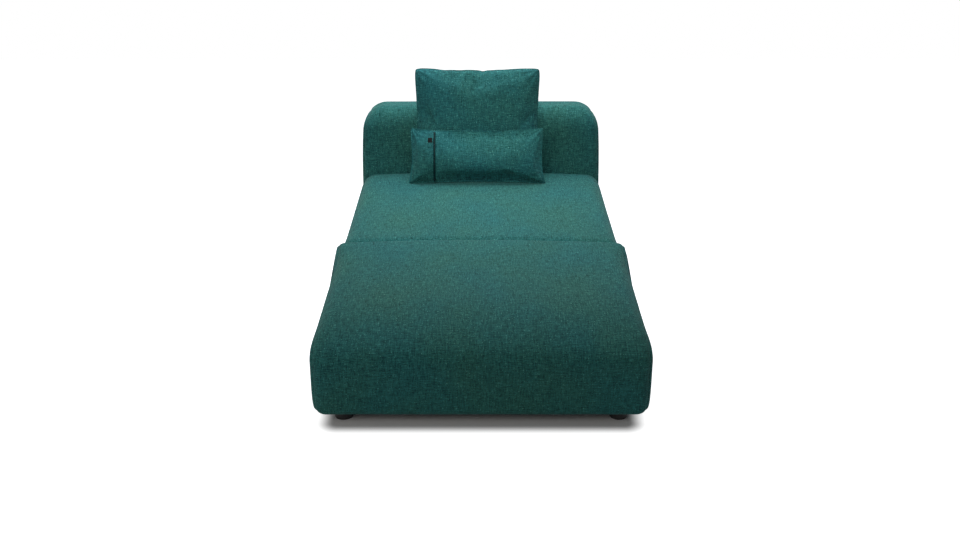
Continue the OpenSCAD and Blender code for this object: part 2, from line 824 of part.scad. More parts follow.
function column_half(pad, u) = pad[1] - pad[5] * (1 - u * u);
function column_crown(crown, u) = crown * pow(1 - pow(abs(u), 3), 0.5);
function arc_r(half, crown) = (half * half + crown * crown) / (2 * crown);
function arc_rise(half, crown, v) =
    crown <= 0 ? 0
    : let (r = arc_r(half, crown)) sqrt(r * r - pow(half * v, 2)) - (r - crown);
function seam_x(pad, u, v) = pad[0] * u - pad[4] * pow(u, 5) * (1 - v * v);

// How much the columns crowd towards the sides, and how far they keep from the zip
crowd_share = 0.35;
flat_room_share = 1.5;

// Columns as [place, place whose crown they take], kept level under the zip
function cushion_columns(n, flat_u, flat_half) =
    let (
        crowded = [for (i = [0:n]) -cos(180 * i / n) * crowd_share + (2 * i / n - 1) * (1 - crowd_share)],
        room = flat_half * flat_room_share
    )
    flat_half == 0 ? [for (u = crowded) [u, u]]
    : concat(
        [for (u = crowded) if (u < flat_u - room) [u, u]],
        [[flat_u - flat_half, flat_u], [flat_u + flat_half, flat_u]],
        [for (u = crowded) if (u > flat_u + room) [u, u]]
    );

// Less is how much its crowns shrink, and keep how far it stays from the seams
module cushion_form(pad, columns, rows, less, keep) {
    w = pad[0] - keep;
    n = len(columns);
    m = rows + 1;
    side = function(crown, way)
        [for (c = columns, j = [0:rows])
            let (
                v = sin(-90 + 180 * j / rows),
                half = column_half(pad, c[1]) - keep,
                rise = arc_rise(half, max(0, column_crown(crown, c[1]) - less), v)
            )
            [seam_x(pad, c[0], v) * w / pad[0], way * rise, half * v]];
    front = side(pad[2], -1);
    back = side(pad[3], 1);
    split = n * m;
    function at(i, j, b) = (b == 0 || j == 0 || j == rows || i == 0 || i == n - 1)
        ? i * m + j : split + i * m + j;
    quads = [for (b = [0, 1], i = [0:n - 2], j = [0:rows - 1])
        let (q = [at(i, j, b), at(i + 1, j, b), at(i + 1, j + 1, b), at(i, j + 1, b)])
        b == 0 ? q : [q[3], q[2], q[1], q[0]]];
    faces = [for (q = quads) each [[q[2], q[1], q[0]], [q[3], q[2], q[0]]]];
    polyhedron(concat(front, back), faces);
}

// Thickness of a cushion's cover, and how far its two cloths lie together along the seams
cover_t = 4;
seam_keep = 12;
zip_room = 2;
zip_flat = (tape_w / 2 + zip_room) / (lumbar_w / 2);
zip_u = -zip_x / (lumbar_w / 2);
cushion_rows = 12;
filling_rows = 8;
head_columns = cushion_columns(18, 0, 0);
lumbar_columns = cushion_columns(18, zip_u, zip_flat);
plain_columns = cushion_columns(10, 0, 0);

module cushion_shell(pad, columns) {
    difference() {
        cushion_form(pad, columns, cushion_rows, 0, 0);
        cushion_form(pad, plain_columns, filling_rows, cover_t, seam_keep);
    }
}

// Level distance from a cushion's lower seam to its face at a height above that seam
function face_reach(pad, crown, lean, z) =
    let (half = column_half(pad, 0), v = z / cos(lean) / half - 1)
    abs(v) > 1 ? 0 : arc_rise(half, crown, v) / cos(lean);

// The head cushion leans on the backrest's rounded top, the lumbar cushion on the head cushion
lean_shares = [0:0.05:1];
head_set = touch_gap + max([for (s = lean_shares)
    let (z = backrest_h - backrest_shoulder * (1 - s) - seat_h)
    tan(head_lean) * z + face_reach(head_pad, head_back, head_lean, z)
    - backrest_round * (1 - sqrt(1 - s * s))]);
lumbar_set = head_set + touch_gap + max([for (s = lean_shares)
    let (z = lumbar_h * s)
    (tan(lumbar_lean) - tan(head_lean)) * z + face_reach(lumbar_pad, lumbar_back, lumbar_lean, z)
    + face_reach(head_pad, head_front, head_lean, z)]);

// They stand on their lower corners, a touch gap above the crowned seat
head_y = back_y0 - head_set;
head_z = seat_top(head_w / 2 - abs(head_x), head_y) + touch_gap + head_pull;
lumbar_y = back_y0 - lumbar_set;
lumbar_z = seat_top(lumbar_w / 2 - abs(lumbar_x), lumbar_y) + touch_gap + lumbar_dip;

module head_place() {
    translate([head_x, head_y, head_z]) rotate([-head_lean, 0, 0])
        translate([0, 0, head_h / 2 - head_pull]) children();
}

module lumbar_place() {
    translate([lumbar_x, lumbar_y, lumbar_z]) rotate([-lumbar_lean, 0, 0])
        translate([0, 0, lumbar_h / 2 - lumbar_dip]) children();
}

module head_cushion_cover() {
    color("teal") head_place() cushion_shell(head_pad, head_columns);
}

module cushion_filling(pad) {
    cushion_form(pad, plain_columns, filling_rows, cover_t + fill_gap, seam_keep + fill_gap);
}

module head_cushion_filling() {
    color("ivory") head_place() cushion_filling(head_pad);
}

module lumbar_cover() {
    color("cadetblue") lumbar_place() cushion_shell(lumbar_pad, lumbar_columns);
}

module lumbar_filling() {
    color("ivory") lumbar_place() cushion_filling(lumbar_pad);
}

// Zip on the front of the lumbar cushion. It follows the arc of its column, so its slider turns
// about that arc's centre.
zip_crown = column_crown(lumbar_front, zip_u);
zip_half = column_half(lumbar_pad, zip_u);
zip_r = arc_r(zip_half, zip_crown) + touch_gap;
zip_centre = zip_r - touch_gap - zip_crown;
zip_reach = asin(zip_half / zip_r);
// Angle left free at each end of the zip
zip_end = 3;
slider_span = 2 * asin(slider_l / 2 / zip_r);
slider_rest = zip_reach - zip_end - slider_span;

// Turns a profile drawn outward from the zip's surface about the arc's centre, from one angle
// below the middle to another
module zip_sweep(low, high) {
    translate([-zip_x, zip_centre, 0]) rotate([0, 90, 0]) rotate([0, 0, low - 90])
        rotate_extrude(angle = high - low, $fn = 180) translate([zip_r, 0]) children();
}

module zip_chain() {
    color("black") lumbar_place() zip_sweep(zip_end - zip_reach, zip_reach - zip_end) polygon([
        [0, -tape_w / 2], [tape_t, -tape_w / 2], [tape_t, -chain_w / 2],
        [tape_t + chain_h, -chain_w / 2], [tape_t + chain_h, chain_w / 2],
        [tape_t, chain_w / 2], [tape_t, tape_w / 2], [0, tape_w / 2]
    ]);
}

slider_wall = 1;
slider_in = chain_w / 2 + 2 * run_gap;
slider_low = tape_t + 2 * run_gap;
slider_roof = tape_t + chain_h + 2 * run_gap;
slider_top = slider_roof + slider_wall;
pin_d = 1.6;
lug_w = 2.4;
lug_r = 2;
pin_z = slider_top + lug_r;

module slider_place(angle) {
    translate([-zip_x, zip_centre, 0]) rotate([angle, 0, 0]) translate([0, -zip_r, 0]) children();
}

module zip_slider() {
    color("dimgray") lumbar_place() difference() {
        union() {
            zip_sweep(slider_rest - slider_span / 2, slider_rest + slider_span / 2) polygon([
                [slider_low, -slider_in - slider_wall], [slider_top, -slider_in - slider_wall],
                [slider_top, slider_in + slider_wall], [slider_low, slider_in + slider_wall],
                [slider_low, slider_in], [slider_roof, slider_in],
                [slider_roof, -slider_in], [slider_low, -slider_in]
            ]);
            slider_place(slider_rest) {
                translate([0, -pin_z, 0]) rotate([0, 90, 0])
                    cylinder(r = lug_r, h = lug_w, center = true, $fn = 32);
                translate([0, -(slider_roof + slider_wall / 2 + pin_z) / 2, 0])
                    cube([lug_w, pin_z - slider_roof - slider_wall / 2, 2 * lug_r], center = true);
            }
        }
        slider_place(slider_rest) translate([0, -pin_z, 0]) rotate([0, 90, 0])
            cylinder(d = pin_d + 2 * run_gap, h = lug_w + 2 * cut, center = true, $fn = 32);
    }
}

// Pull: a small tongue that hangs from a pin through the slider's lug
pull_t = 1.4;
pull_ear = 1.2;
ear_x = lug_w / 2 + 2 * run_gap;
pull_half = ear_x + pull_ear;

module zip_pull() {
    color("dimgray") lumbar_place() slider_place(slider_rest) translate([0, -pin_z, 0])
        rotate([lumbar_lean - slider_rest, 0, 0]) {
            rotate([0, 90, 0]) cylinder(d = pin_d, h = 2 * ear_x + pull_ear, center = true, $fn = 32);
            for (s = [-1, 1]) translate([s * (ear_x + pull_ear / 2), 0, 0]) {
                rotate([0, 90, 0]) cylinder(d = 2 * lug_r, h = pull_ear, center = true, $fn = 32);
                translate([-pull_ear / 2, -pull_t / 2, -2 * lug_r]) cube([pull_ear, pull_t, 2 * lug_r]);
            }
            translate([0, pull_t / 2, 0]) rotate([90, 0, 0]) linear_extrude(pull_t) {
                translate([-pull_half, pull_half - pull_l])
                    square([2 * pull_half, pull_l - pull_half - lug_r - touch_gap]);
                translate([0, pull_half - pull_l]) circle(r = pull_half, $fn = 48);
            }
        }
}

// Folded label, sewn into the seam beside the zip and left blank
label_t = 1;
label_share = 0.62;

module lumbar_label() {
    color("black") lumbar_place() {
        angle = -asin(zip_half * label_share / zip_r);
        slider_place(angle) translate([-tape_w / 2 - fill_gap - label_w, -label_t - touch_gap, -label_w / 2])
            cube([label_w, label_t, label_w]);
    }
}

seat_cover();
seat_foam();
seat_side_rails();
seat_front_rail();
seat_rear_rail();
seat_corner_blocks();
seat_springs();
spring_clips();
backrest_cover();
backrest_foam();
backrest_side_panels();
backrest_lower_rails();
backrest_cross_rails();
backrest_webbing();
backrest_board();
backrest_corner_blocks();
frame_bolts();
frame_nuts();
chair_dust_cover();
chair_feet();
chair_foot_bolts();
chair_tee_nuts();
connector_catches();
catch_screws();
pouf_cover();
pouf_foam();
pouf_side_rails();
pouf_end_rails();
pouf_corner_blocks();
pouf_long_webbing();
pouf_cross_webbing();
pouf_dust_cover();
pouf_feet();
pouf_foot_bolts();
pouf_tee_nuts();
connector_hooks();
hook_screws();
head_cushion_cover();
head_cushion_filling();
lumbar_cover();
lumbar_filling();
lumbar_label();
zip_chain();
zip_slider();
zip_pull();
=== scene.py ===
import math
import bmesh
import bpy
import numpy as np
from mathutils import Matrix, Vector, noise
from mathutils.bvhtree import BVHTree
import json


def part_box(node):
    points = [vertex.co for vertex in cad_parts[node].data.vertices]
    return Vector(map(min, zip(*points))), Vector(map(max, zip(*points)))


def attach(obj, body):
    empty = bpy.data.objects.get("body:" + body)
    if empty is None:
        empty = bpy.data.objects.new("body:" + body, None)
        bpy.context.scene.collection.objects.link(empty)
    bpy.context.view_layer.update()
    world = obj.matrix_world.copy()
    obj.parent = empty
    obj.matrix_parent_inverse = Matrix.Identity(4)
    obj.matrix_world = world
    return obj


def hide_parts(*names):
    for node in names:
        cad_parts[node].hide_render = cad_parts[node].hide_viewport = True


for leftover in ("Cube", "Light", "Camera"):  # what a fresh file may hold
    if leftover in bpy.data.objects:
        bpy.data.objects.remove(bpy.data.objects[leftover])
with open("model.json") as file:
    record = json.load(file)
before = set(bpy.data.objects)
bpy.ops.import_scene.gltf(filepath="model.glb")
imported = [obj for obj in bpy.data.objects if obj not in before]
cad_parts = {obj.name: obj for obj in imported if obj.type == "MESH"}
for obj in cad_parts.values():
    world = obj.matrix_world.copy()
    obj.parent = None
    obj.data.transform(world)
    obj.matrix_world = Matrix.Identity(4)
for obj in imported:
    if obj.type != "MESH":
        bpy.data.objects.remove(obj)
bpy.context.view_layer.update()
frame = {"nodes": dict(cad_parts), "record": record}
scene = bpy.context.scene
nodes = frame["nodes"]
print("frame loaded with", len(nodes), "nodes")


class Settings(dict):  # a dictionary whose values are read like attributes
    __getattr__ = dict.__getitem__


def addObject(name, data):
    thing = bpy.data.objects.new(name, data)
    scene.collection.objects.link(thing)
    return thing


# Camera, floor and light come first
cameraSettings = Settings(
    place=(-0.004, -4.056, 1.673), pitchDown=20.112, lens=39.375, sensor=36, clip=(0.05, 60),
)


def makeCamera(settings):
    data = bpy.data.cameras.new("photoCamera")
    data.lens = settings.lens
    data.sensor_width = settings.sensor
    data.clip_start, data.clip_end = settings.clip
    camera = addObject("photoCamera", data)
    camera.location = settings.place
    camera.rotation_euler = (math.radians(90 - settings.pitchDown), 0, 0)
    scene.camera = camera


makeCamera(cameraSettings)
scene.view_settings.view_transform = "Standard"
print("camera placed")


class Reading:  # what a node gives out, to be reckoned with like a number: each step adds a node
    def __init__(self, node, output=0):
        self.socket = node.outputs[output]
        self.tree = node.id_data

    def math(self, operation, other=0.0):
        return Reading(addNode(self.tree, "Math", self, other, operation=operation))

    def vector(self, operation, other):
        return Reading(addNode(self.tree, "VectorMath", self, other, operation=operation))

    def mapped(self, low, high, toLow=0.0, toHigh=1.0, curve="LINEAR"):
        ends = (low, high, toLow, toHigh)
        return Reading(addNode(self.tree, "MapRange", self, *ends, interpolation_type=curve))

    def gray(self):
        return Reading(addNode(self.tree, "CombineColor", self, self, self))

    def __add__(self, other):
        return self.math("ADD", other)

    def __sub__(self, other):
        return self.math("SUBTRACT", other)

    def __mul__(self, other):
        return self.math("MULTIPLY", other)

    def __truediv__(self, other):
        return self.math("DIVIDE", other)


def feed(socket, value):
    if isinstance(value, Reading):
        value.tree.links.new(value.socket, socket)
    else:
        socket.default_value = value


def addNode(tree, kind, *values, named={}, **settings):
    node = tree.nodes.new("ShaderNode" + kind)
    for key, value in settings.items():
        setattr(node, key, value)
    for key, value in {**dict(enumerate(values)), **named}.items():
        feed(node.inputs[key], value)
    return node


def splitVector(vector):
    node = addNode(vector.tree, "SeparateXYZ", vector)
    return [Reading(node, axis) for axis in range(3)]


def joinVector(tree, x, y, z):
    return Reading(addNode(tree, "CombineXYZ", x, y, z))


def noiseNode(vector, scale=1.0, detail=2.0, roughness=0.5):
    named = {"Scale": scale, "Detail": detail, "Roughness": roughness}
    return Reading(addNode(vector.tree, "TexNoise", vector, named=named))


def mixColor(tree, factor, a, b, blend="MIX"):
    return Reading(addNode(tree, "Mix", factor, named={6: a, 7: b}, data_type="RGBA", blend_type=blend), 2)


def newGroup(name, inputs):  # gives a color, a roughness and a height
    group = bpy.data.node_groups.new(name, "ShaderNodeTree")
    for label, value in inputs.items():
        kind = "Vector" if value is None else "Color" if isinstance(value, tuple) else "Float"
        socket = group.interface.new_socket(label, in_out="INPUT", socket_type="NodeSocket" + kind)
        if value is not None:
            socket.default_value = value
    for label, kind in (("Color", "Color"), ("Roughness", "Float"), ("Height", "Float")):
        group.interface.new_socket(label, in_out="OUTPUT", socket_type="NodeSocket" + kind)
    entry = group.nodes.new("NodeGroupInput")
    given = {label: Reading(entry, label) for label in inputs}
    return group, given, group.nodes.new("NodeGroupOutput").inputs


def rgb(red, green, blue):  # 8 bit screen colour to the renderer's linear colour
    def linear(c):
        c /= 255
        return c / 12.92 if c <= 0.04045 else ((c + 0.055) / 1.055) ** 2.4
    return (linear(red), linear(green), linear(blue), 1)


def newMaterial(name, **plain):
    material = bpy.data.materials.new(name)
    material.use_nodes = True
    shader = material.node_tree.nodes["Principled BSDF"]
    for label, value in plain.items():
        shader.inputs[label.replace("_", " ")].default_value = value
    return material, material.node_tree, shader


def addBump(shader, height, strength, distance):
    bump = addNode(height.tree, "Bump", named={"Strength": strength, "Distance": distance, "Height": height})
    feed(shader.inputs["Normal"], Reading(bump))


# A material that takes its looks from a shared group, with a roughness of its own if it has one
def groupMaterial(name, group, findPlace, look, bump, **plain):
    material, tree, shader = newMaterial(name, **plain)
    node = addNode(tree, "Group", named={"Place": findPlace(tree), **look}, node_tree=group)
    feed(shader.inputs["Base Color"], Reading(node, "Color"))
    if "Roughness" not in plain:
        feed(shader.inputs["Roughness"], Reading(node, "Roughness"))
    addBump(shader, Reading(node, "Height"), *bump)
    return material


def placeOnSurface(tree):  # metres in the lounger's own frame
    return Reading(addNode(tree, "TexCoord"), "Object")


def newMesh(name, points, faces):
    data = bpy.data.meshes.new(name)
    data.from_pydata([tuple(p) for p in points], [], [tuple(int(i) for i in face) for face in faces])
    return data


stageSettings = Settings(
    floorSize=14, floorTint=(0.95, 1.0, 1.07, 1), floorTone=0.42, shownTone=0.8, worldTone=0.12,
    footprint=(0.475, 0.93), shadowReach=(0.018, 0.088),
    lamps=dict(
        topLamp=dict(
            place=(0, 0.9, 2.3), aim=(0, 0.5, 0.4), size=(1.8, 1.2), power=38, spread=180,
            tint=(0.97, 1, 1.02),
        ),
        cushionLamp=dict(
            place=(0, -1.0, 2.8), aim=(0, 0.4, 0.5), size=(1.2, 0.8), power=2.8, spread=50, tint=(1, 1, 1),
        ),
        frontLamp=dict(
            place=(-2.3, -4.0, 2.4), aim=(0, -0.4, 0.35), size=(3.0, 2.0), power=44, spread=180,
            tint=(1.07, 0.95, 0.83),
        ),
    ),
)


def seenTone(tree, bounced, shown):  # one tone for what is looked at, another for the light that bounces
    rays = addNode(tree, "LightPath")
    seen = Reading(rays, "Is Camera Ray")
    for label in ("Is Glossy Ray", "Is Transmission Ray"):
        seen = seen.math("MAXIMUM", Reading(rays, label))
    return seen.mapped(0.0, 1.0, bounced, shown)


def makeWorld(settings):
    world = bpy.data.worlds.new("studio")
    world.use_nodes = True
    scene.world = world
    background = world.node_tree.nodes["Background"]
    background.inputs["Color"].default_value = (1, 1, 1, 1)
    feed(background.inputs["Strength"], seenTone(world.node_tree, settings.worldTone, 1.0))


# The floor shows white but for the shadow beside the lounger, and sends back less light than it shows
def makeFloor(settings):
    half = settings.floorSize / 2
    corners = [(-half, -half, 0), (half, -half, 0), (half, half, 0), (-half, half, 0)]
    floor = addObject("studioFloor", newMesh("studioFloor", corners, [(0, 1, 2, 3)]))
    plain = {"Roughness": 0.9, "Specular_IOR_Level": 0.1, "Emission_Strength": 1}
    material, tree, shader = newMaterial("paleFloor", **plain)
    tone = seenTone(tree, settings.floorTone, settings.shownTone)
    feed(shader.inputs["Base Color"], mixColor(tree, 1.0, tone.gray(), settings.floorTint, "MULTIPLY"))
    beyond = [(side.math("ABSOLUTE") - edge).math("MAXIMUM", 0.0).math("POWER", 2.0)
              for side, edge in zip(splitVector(placeOnSurface(tree)), settings.footprint)]
    lift = (beyond[0] + beyond[1]).math("SQRT").mapped(*settings.shadowReach, curve="SMOOTHSTEP")
    feed(shader.inputs["Emission Color"], (lift * seenTone(tree, 0.0, 1.0)).gray())
    floor.data.materials.append(material)


def makeLamp(name, place, aim, size, power, spread, tint):
    data = bpy.data.lights.new(name, "AREA")
    data.shape = "RECTANGLE"
    data.size, data.size_y = size
    data.energy = power
    data.color = tint
    data.spread = math.radians(spread)
    lamp = addObject(name, data)
    lamp.location = place
    lamp.rotation_euler = (Vector(aim) - Vector(place)).to_track_quat("-Z", "Y").to_euler()


makeWorld(stageSettings)
makeFloor(stageSettings)
for lampName, lamp in stageSettings.lamps.items():
    makeLamp(lampName, **lamp)
print("stage lit")


# Fabrics. The weave's noises are so many times a metre across and along, in a layer of their own
weaveSettings = Settings(
    bundles=((200.0, 34.0, 3.0), (42.0, 220.0, 9.0)), bundleShare=0.44, speck=(260.0, 260.0, 2.0),
    speckShare=0.5, bright=(200.0, 170.0, 5.0), brightFrom=(0.65, 0.73), brightShare=0.5,
    deep=(170.0, 200.0, 12.0), deepFrom=(0.35, 0.27), deepShare=0.34, patch=(3.4, 2.6, 1), patchShare=0.6,
    dyed=(160, 130, 1), dyedShare=0.4,
)
black, white = (0, 0, 0, 1), (1, 1, 1, 1)


# Plain weave of thick and thin yarns in two tones, laid out in metres of cloth
def makeWeaveGroup(weave):
    tree, given, out = newGroup("melangeWeave", {
        "Place": None, "Yarn": 0.0021, "Slub Length": 0.03, "Dark": black, "Light": white, "Fleck": white,
        "Warm": white, "Cool": white})
    u, v, _ = splitVector(given["Place"].vector("ADD", (20, 20, 0)))
    across, along = u / given["Yarn"], v / given["Yarn"]
    warp, weft = across.math("FLOOR"), along.math("FLOOR")
    over = (warp + weft).math("MODULO", 2.0).math("GREATER_THAN", 0.5)
    bend = ((across - warp - 0.5) * math.pi).math("COSINE") * ((along - weft - 0.5) * math.pi).math("COSINE")
    slubU, slubV = u / given["Slub Length"], v / given["Slub Length"]
    warpTone = noiseNode(joinVector(tree, warp * 3.71, slubV, 1.5), 1.0, 2.0, 0.6)
    weftTone = noiseNode(joinVector(tree, slubU, weft * 3.37, 7.5), 1.0, 2.0, 0.6)
    tone = weftTone + (warpTone - weftTone) * over

    def streak(fineU, fineV, layer):
        return noiseNode(joinVector(tree, u * fineU, v * fineV, layer), 1.0, 1.0)

    # bundles of thick yarn that show from a step away, along and across, then specks and flecks
    tone = tone + (streak(*weave.bundles[0]) + streak(*weave.bundles[1]) - 1.0) * weave.bundleShare
    tone = tone + (streak(*weave.speck) - 0.5) * weave.speckShare
    tone = tone + streak(*weave.bright).mapped(*weave.brightFrom) * weave.brightShare
    tone = tone - streak(*weave.deep).mapped(*weave.deepFrom) * weave.deepShare
    color = mixColor(tree, tone.mapped(0.25, 0.78), given["Dark"], given["Light"])
    color = mixColor(tree, tone.mapped(0.74, 0.98, 0.0, 0.8), color, given["Fleck"])
    patch = noiseNode(given["Place"].vector("MULTIPLY", weave.patch))
    dyed = noiseNode(given["Place"].vector("MULTIPLY", weave.dyed), 1.0, 2.0, 0.6)
    hue = patch * weave.patchShare + dyed * weave.dyedShare
    tint = mixColor(tree, hue.mapped(0.4, 0.6), given["Warm"], given["Cool"])
    color = mixColor(tree, 1.0, color, tint, "MULTIPLY")
    # painted shade: the colour is darkened where the yarns dip between crossings, in the grooves of the
    # weave
    paintedGrooveShade = bend.mapped(0.0, 1.0, 0.72, 1.06)
    feed(out["Color"], mixColor(tree, 1.0, color, paintedGrooveShade.gray(), "MULTIPLY"))
    feed(out["Roughness"], tone.mapped(0.2, 0.9, 0.98, 0.82))
    feed(out["Height"], bend + tone * 0.9)
    return tree


weaveGroup = makeWeaveGroup(weaveSettings)
fabricLooks = {
    "upholstery": {"Yarn": 0.0021, "Dark": rgb(14, 64, 65), "Light": rgb(60, 136, 132),
                   "Fleck": rgb(108, 182, 174), "Warm": (1.1, 1.0, 0.9, 1), "Cool": (0.8, 1.0, 1.08, 1)},
    "cushions": {"Yarn": 0.0019, "Dark": rgb(13, 63, 66), "Light": rgb(58, 136, 134),
                 "Fleck": rgb(108, 184, 178), "Warm": (1.08, 1.0, 0.92, 1), "Cool": (0.78, 0.99, 1.1, 1)},
}


def placeOnCloth(tree):
    return Reading(addNode(tree, "UVMap", uv_map="cloth"))


def makeFabric(name, look):
    return groupMaterial(name, weaveGroup, placeOnCloth, look, (0.45, 0.0007), Sheen_Weight=0.22,
                         Sheen_Roughness=0.45, Sheen_Tint=rgb(150, 190, 182), Specular_IOR_Level=0.2)


materials = {
    "upholstery": makeFabric("tealUpholstery", fabricLooks["upholstery"]),
    "cushions": makeFabric("tealCushion", fabricLooks["cushions"]),
}
print("fabrics made")


# Upholstered blocks: each is one loop round its side view, carried across and drawn in at the sides
blockSettings = dict(
    pouf=dict(
        node="pouf_cover", body="pouf", nose=0.29, tail=0.04, cornerFront=0.05, cornerBack=0.024, fall=0.06,
        fallPower=2, crown=0.016, bulge=0.006, earFront=0.8, earBack=0.88, wide=0.005, stuffed=0.017,
    ),
    seat=dict(
        node="seat_cover", body="chair", nose=0.07, tail=0.012, cornerFront=0.052, cornerBack=0.011,
        fall=0.066, crown=0.016, bulge=0.005, earFront=0.3, hemBack=0.003,
    ),
    backrest=dict(
        node="backrest_cover", body="chair", nose=0.075, tail=0.075, drop=0.11, side=0.11, cornerFront=0.04,
        cornerBack=0.052, bulge=0.003, taper=0.012, proud=0.012, hemFront=0.003,
    ),
)
plainBlock = dict(
    drop=0.09, side=0.07, hem=0.02, hemFront=0.02, hemBack=0.02, wide=0.004, fall=0.0, fallPower=1,
    crown=0.0, taper=0.0, earFront=0.0, earBack=0.0, stuffed=0.0, proud=0.0,
)
meshSettings = Settings(
    step=0.009, turnSteps=10, capSteps=16, seamTurn=52, seamDepth=0.0026, seamWidth=0.011,
    creaseDepth=0.0016, creaseWidth=0.0016, pucker=0.0011, puckerSize=0.014, puckerReach=0.035,
    stitch=0.002, dent=0.0026, dentSize=0.24, bottomEdge=0.045, lip=0.02, earReach=0.13, stuffedReach=0.23,
    droop=0.004, archLength=1.15, wallBunch=1.35, tightCorner=0.35, acrossStep=1.25, seamClear=0.1,
    nearSeam=(0.012, 0.035, 0.08, 0.16), hemRound=((0.7, 0.04), (0.3, 0.2)),
)


def hemShare(t):  # how much of the hem's rounding is left at a share of the wall's height
    return sum(share * np.exp(-t / reach) for share, reach in meshSettings.hemRound)


def bell(away, reach):
    return np.exp(-((away / reach) ** 2))


def blockTop(block, x, y):
    start = block.high.y - (block.tail if block.fallPower == 2 else 0)
    reach = block.high.y - block.low.y
    away = np.maximum(0, start - y) / reach
    stuffed = block.stuffed * bell(block.high.y - y, meshSettings.stuffedReach)
    fall = block.fall * away ** block.fallPower + block.crown * (x / block.half) ** 2
    return block.high.z - fall + stuffed


# Near its front and back the rounding along the sides gets tighter, as the corners are stuffed
def earShare(block, y):
    front = block.earFront * bell(y - block.low.y, meshSettings.earReach)
    back = block.earBack * bell(block.high.y - y, meshSettings.earReach)
    return 1 - front - back


# Points of the side view as (part, share): 0 front wall, 1 nose, 2 top, 3 tail, 4 back wall, 5 underside
def sideViewPoints(block, mesh):
    wall = block.high.z - block.low.z - block.drop
    depth = block.high.y - block.low.y
    nose, tail = (math.hypot(block[end], block.drop) * mesh.archLength for end in ("nose", "tail"))
    points = []
    for part, length in enumerate((wall, nose, depth - block.nose - block.tail, tail, wall)):
        count = int(length / mesh.step)
        for i in range(count):
            share = i / count
            if part == 0:
                share = share ** mesh.wallBunch
            if part == 4:
                share = 1 - (1 - share) ** mesh.wallBunch
            points.append((part, share))
    edge = mesh.bottomEdge / depth
    points += [(5, share) for share in (0, edge * 0.3, edge, 1 - edge, 1 - edge * 0.3)]
    return np.array([p[0] for p in points]), np.array([p[1] for p in points])


# One loop of the block: turn 0 is the full side view, turn 90 degrees lies in the side face
def blockLoop(block, part, share, turn, across):
    low, high, drop = block.low, block.high, block.drop
    inward = 1 - math.cos(turn)
    angle = share * math.pi / 2
    y, z, reach, hem, rise = (np.zeros(len(part)) for _ in range(5))
    corner = np.where(part > 2, block.cornerBack, block.cornerFront)
    ends = []
    for wall, arch, edge, way, bow, inset, sweep, lift in (
            (0, 1, low.y, 1, block.nose, block.hemFront, np.cos, np.sin),
            (4, 3, high.y, -1, block.tail, block.hemBack, np.sin, np.cos)):
        here, bent = part == wall, part == arch
        height = share[here] if way > 0 else 1 - share[here]
        rim = blockTop(block, across * block.half, edge) - drop
        hem[here] = hemShare(height)
        reach[here] = corner[here]
        y[here] = edge + way * (inset * hem[here] + corner[here] * inward)
        z[here] = low.z + (rim - low.z) * height
        y[bent] = edge + way * (bow - (bow - corner[bent] * inward) * sweep(angle[bent]))
        rise[bent] = lift(angle[bent])
        ends.append(edge + way * (inset * hemShare(0.0) + corner[here][0] * inward))
    top = part == 2
    y[top] = low.y + block.nose + share[top] * (high.y - block.tail - low.y - block.nose)
    rise[top] = 1
    upper = (part > 0) & (part < 4)
    ear = earShare(block, y)
    tight = meshSettings.tightCorner
    drawn = drop * (1 - rise) + ear * drop * rise * inward
    z[upper] = (blockTop(block, across * block.half, y) - drawn)[upper]
    reach[upper] = (corner + (block.side * (tight + (1 - tight) * ear) - corner) * rise ** 1.5)[upper]
    under = part == 5
    y[under] = ends[1] + (ends[0] - ends[1]) * share[under]
    z[under] = low.z
    hem[under] = hemShare(0.0)
    reach[under] = block.cornerBack + (block.cornerFront - block.cornerBack) * share[under]
    return y, z, reach, hem


def taperShare(block, z):  # upper walls lean in
    rim = block.high.z - block.drop
    height = np.clip((z - block.low.z) / (rim - block.low.z), 0, 1)
    return 1 - block.taper * height ** 4 / block.half


def blockRings(block, mesh):
    part, share = sideViewPoints(block, mesh)
    half = block.half
    seam = math.radians(mesh.seamTurn)
    turns = [math.pi / 2 * i / mesh.turnSteps for i in range(1, mesh.turnSteps + 1)]
    turns = [turn for turn in turns if abs(turn - seam) > mesh.seamClear] + [seam]
    turns = sorted(turns + [seam + way * near for near in mesh.nearSeam for way in (-1, 1)])
    middle = int(2 * half / mesh.step / mesh.acrossStep)
    rings = []  # (points, is the side panel, is the seam)
    for i in range(middle + 1):
        across = 2 * i / middle - 1
        y, z, reach, _ = blockLoop(block, part, share, 0.0, across * (1 - block.side / half))
        rings.append((np.stack([across * (half - reach) * taperShare(block, z), y, z], 1), False, False))
    for side in (1, -1):
        outer = []
        for turn in turns:
            spread = (half - block.side * (1 - math.sin(turn))) / half
            y, z, reach, hem = blockLoop(block, part, share, turn, spread)
            x = half - block.hem * hem * math.sin(turn) - reach * (1 - math.sin(turn))
            x = side * x * taperShare(block, z)
            outer.append((np.stack([x, y, z], 1), turn > seam + 1e-6, abs(turn - seam) < 1e-6))
        last = outer[-1][0]
        low, high = last.min(axis=0), last.max(axis=0)
        centre = np.array([0, (low[1] + high[1]) / 2, (low[2] + high[2]) / 2])
        for i in range(1, mesh.capSteps):
            keep = 1 - i / mesh.capSteps
            ring = centre + (last - centre) * keep
            height = np.clip((ring[:, 2] - block.low.z) / (high[2] - block.low.z), 0, 1)
            ring[:, 0] = half - block.hem * hemShare(height) + block.bulge * (1 - keep ** 2)
            ring[:, 0] *= side * taperShare(block, ring[:, 2])
            outer.append((ring, True, False))
        rings = rings + outer if side == 1 else outer[::-1] + rings
    return part, share, rings


def addCloth(mesh, corners):  # corners: one (u, v) in metres for each face corner
    layer = mesh.uv_layers.new(name="cloth")
    layer.data.foreach_set("uv", np.array(corners, np.float32).ravel())


def lengthAlong(loop):  # from the first point of a closed loop to each point, and round to the first
    steps = np.linalg.norm(np.diff(np.vstack([loop, loop[:1]]), axis=0), axis=1)
    return np.concatenate([[0], np.cumsum(steps)])


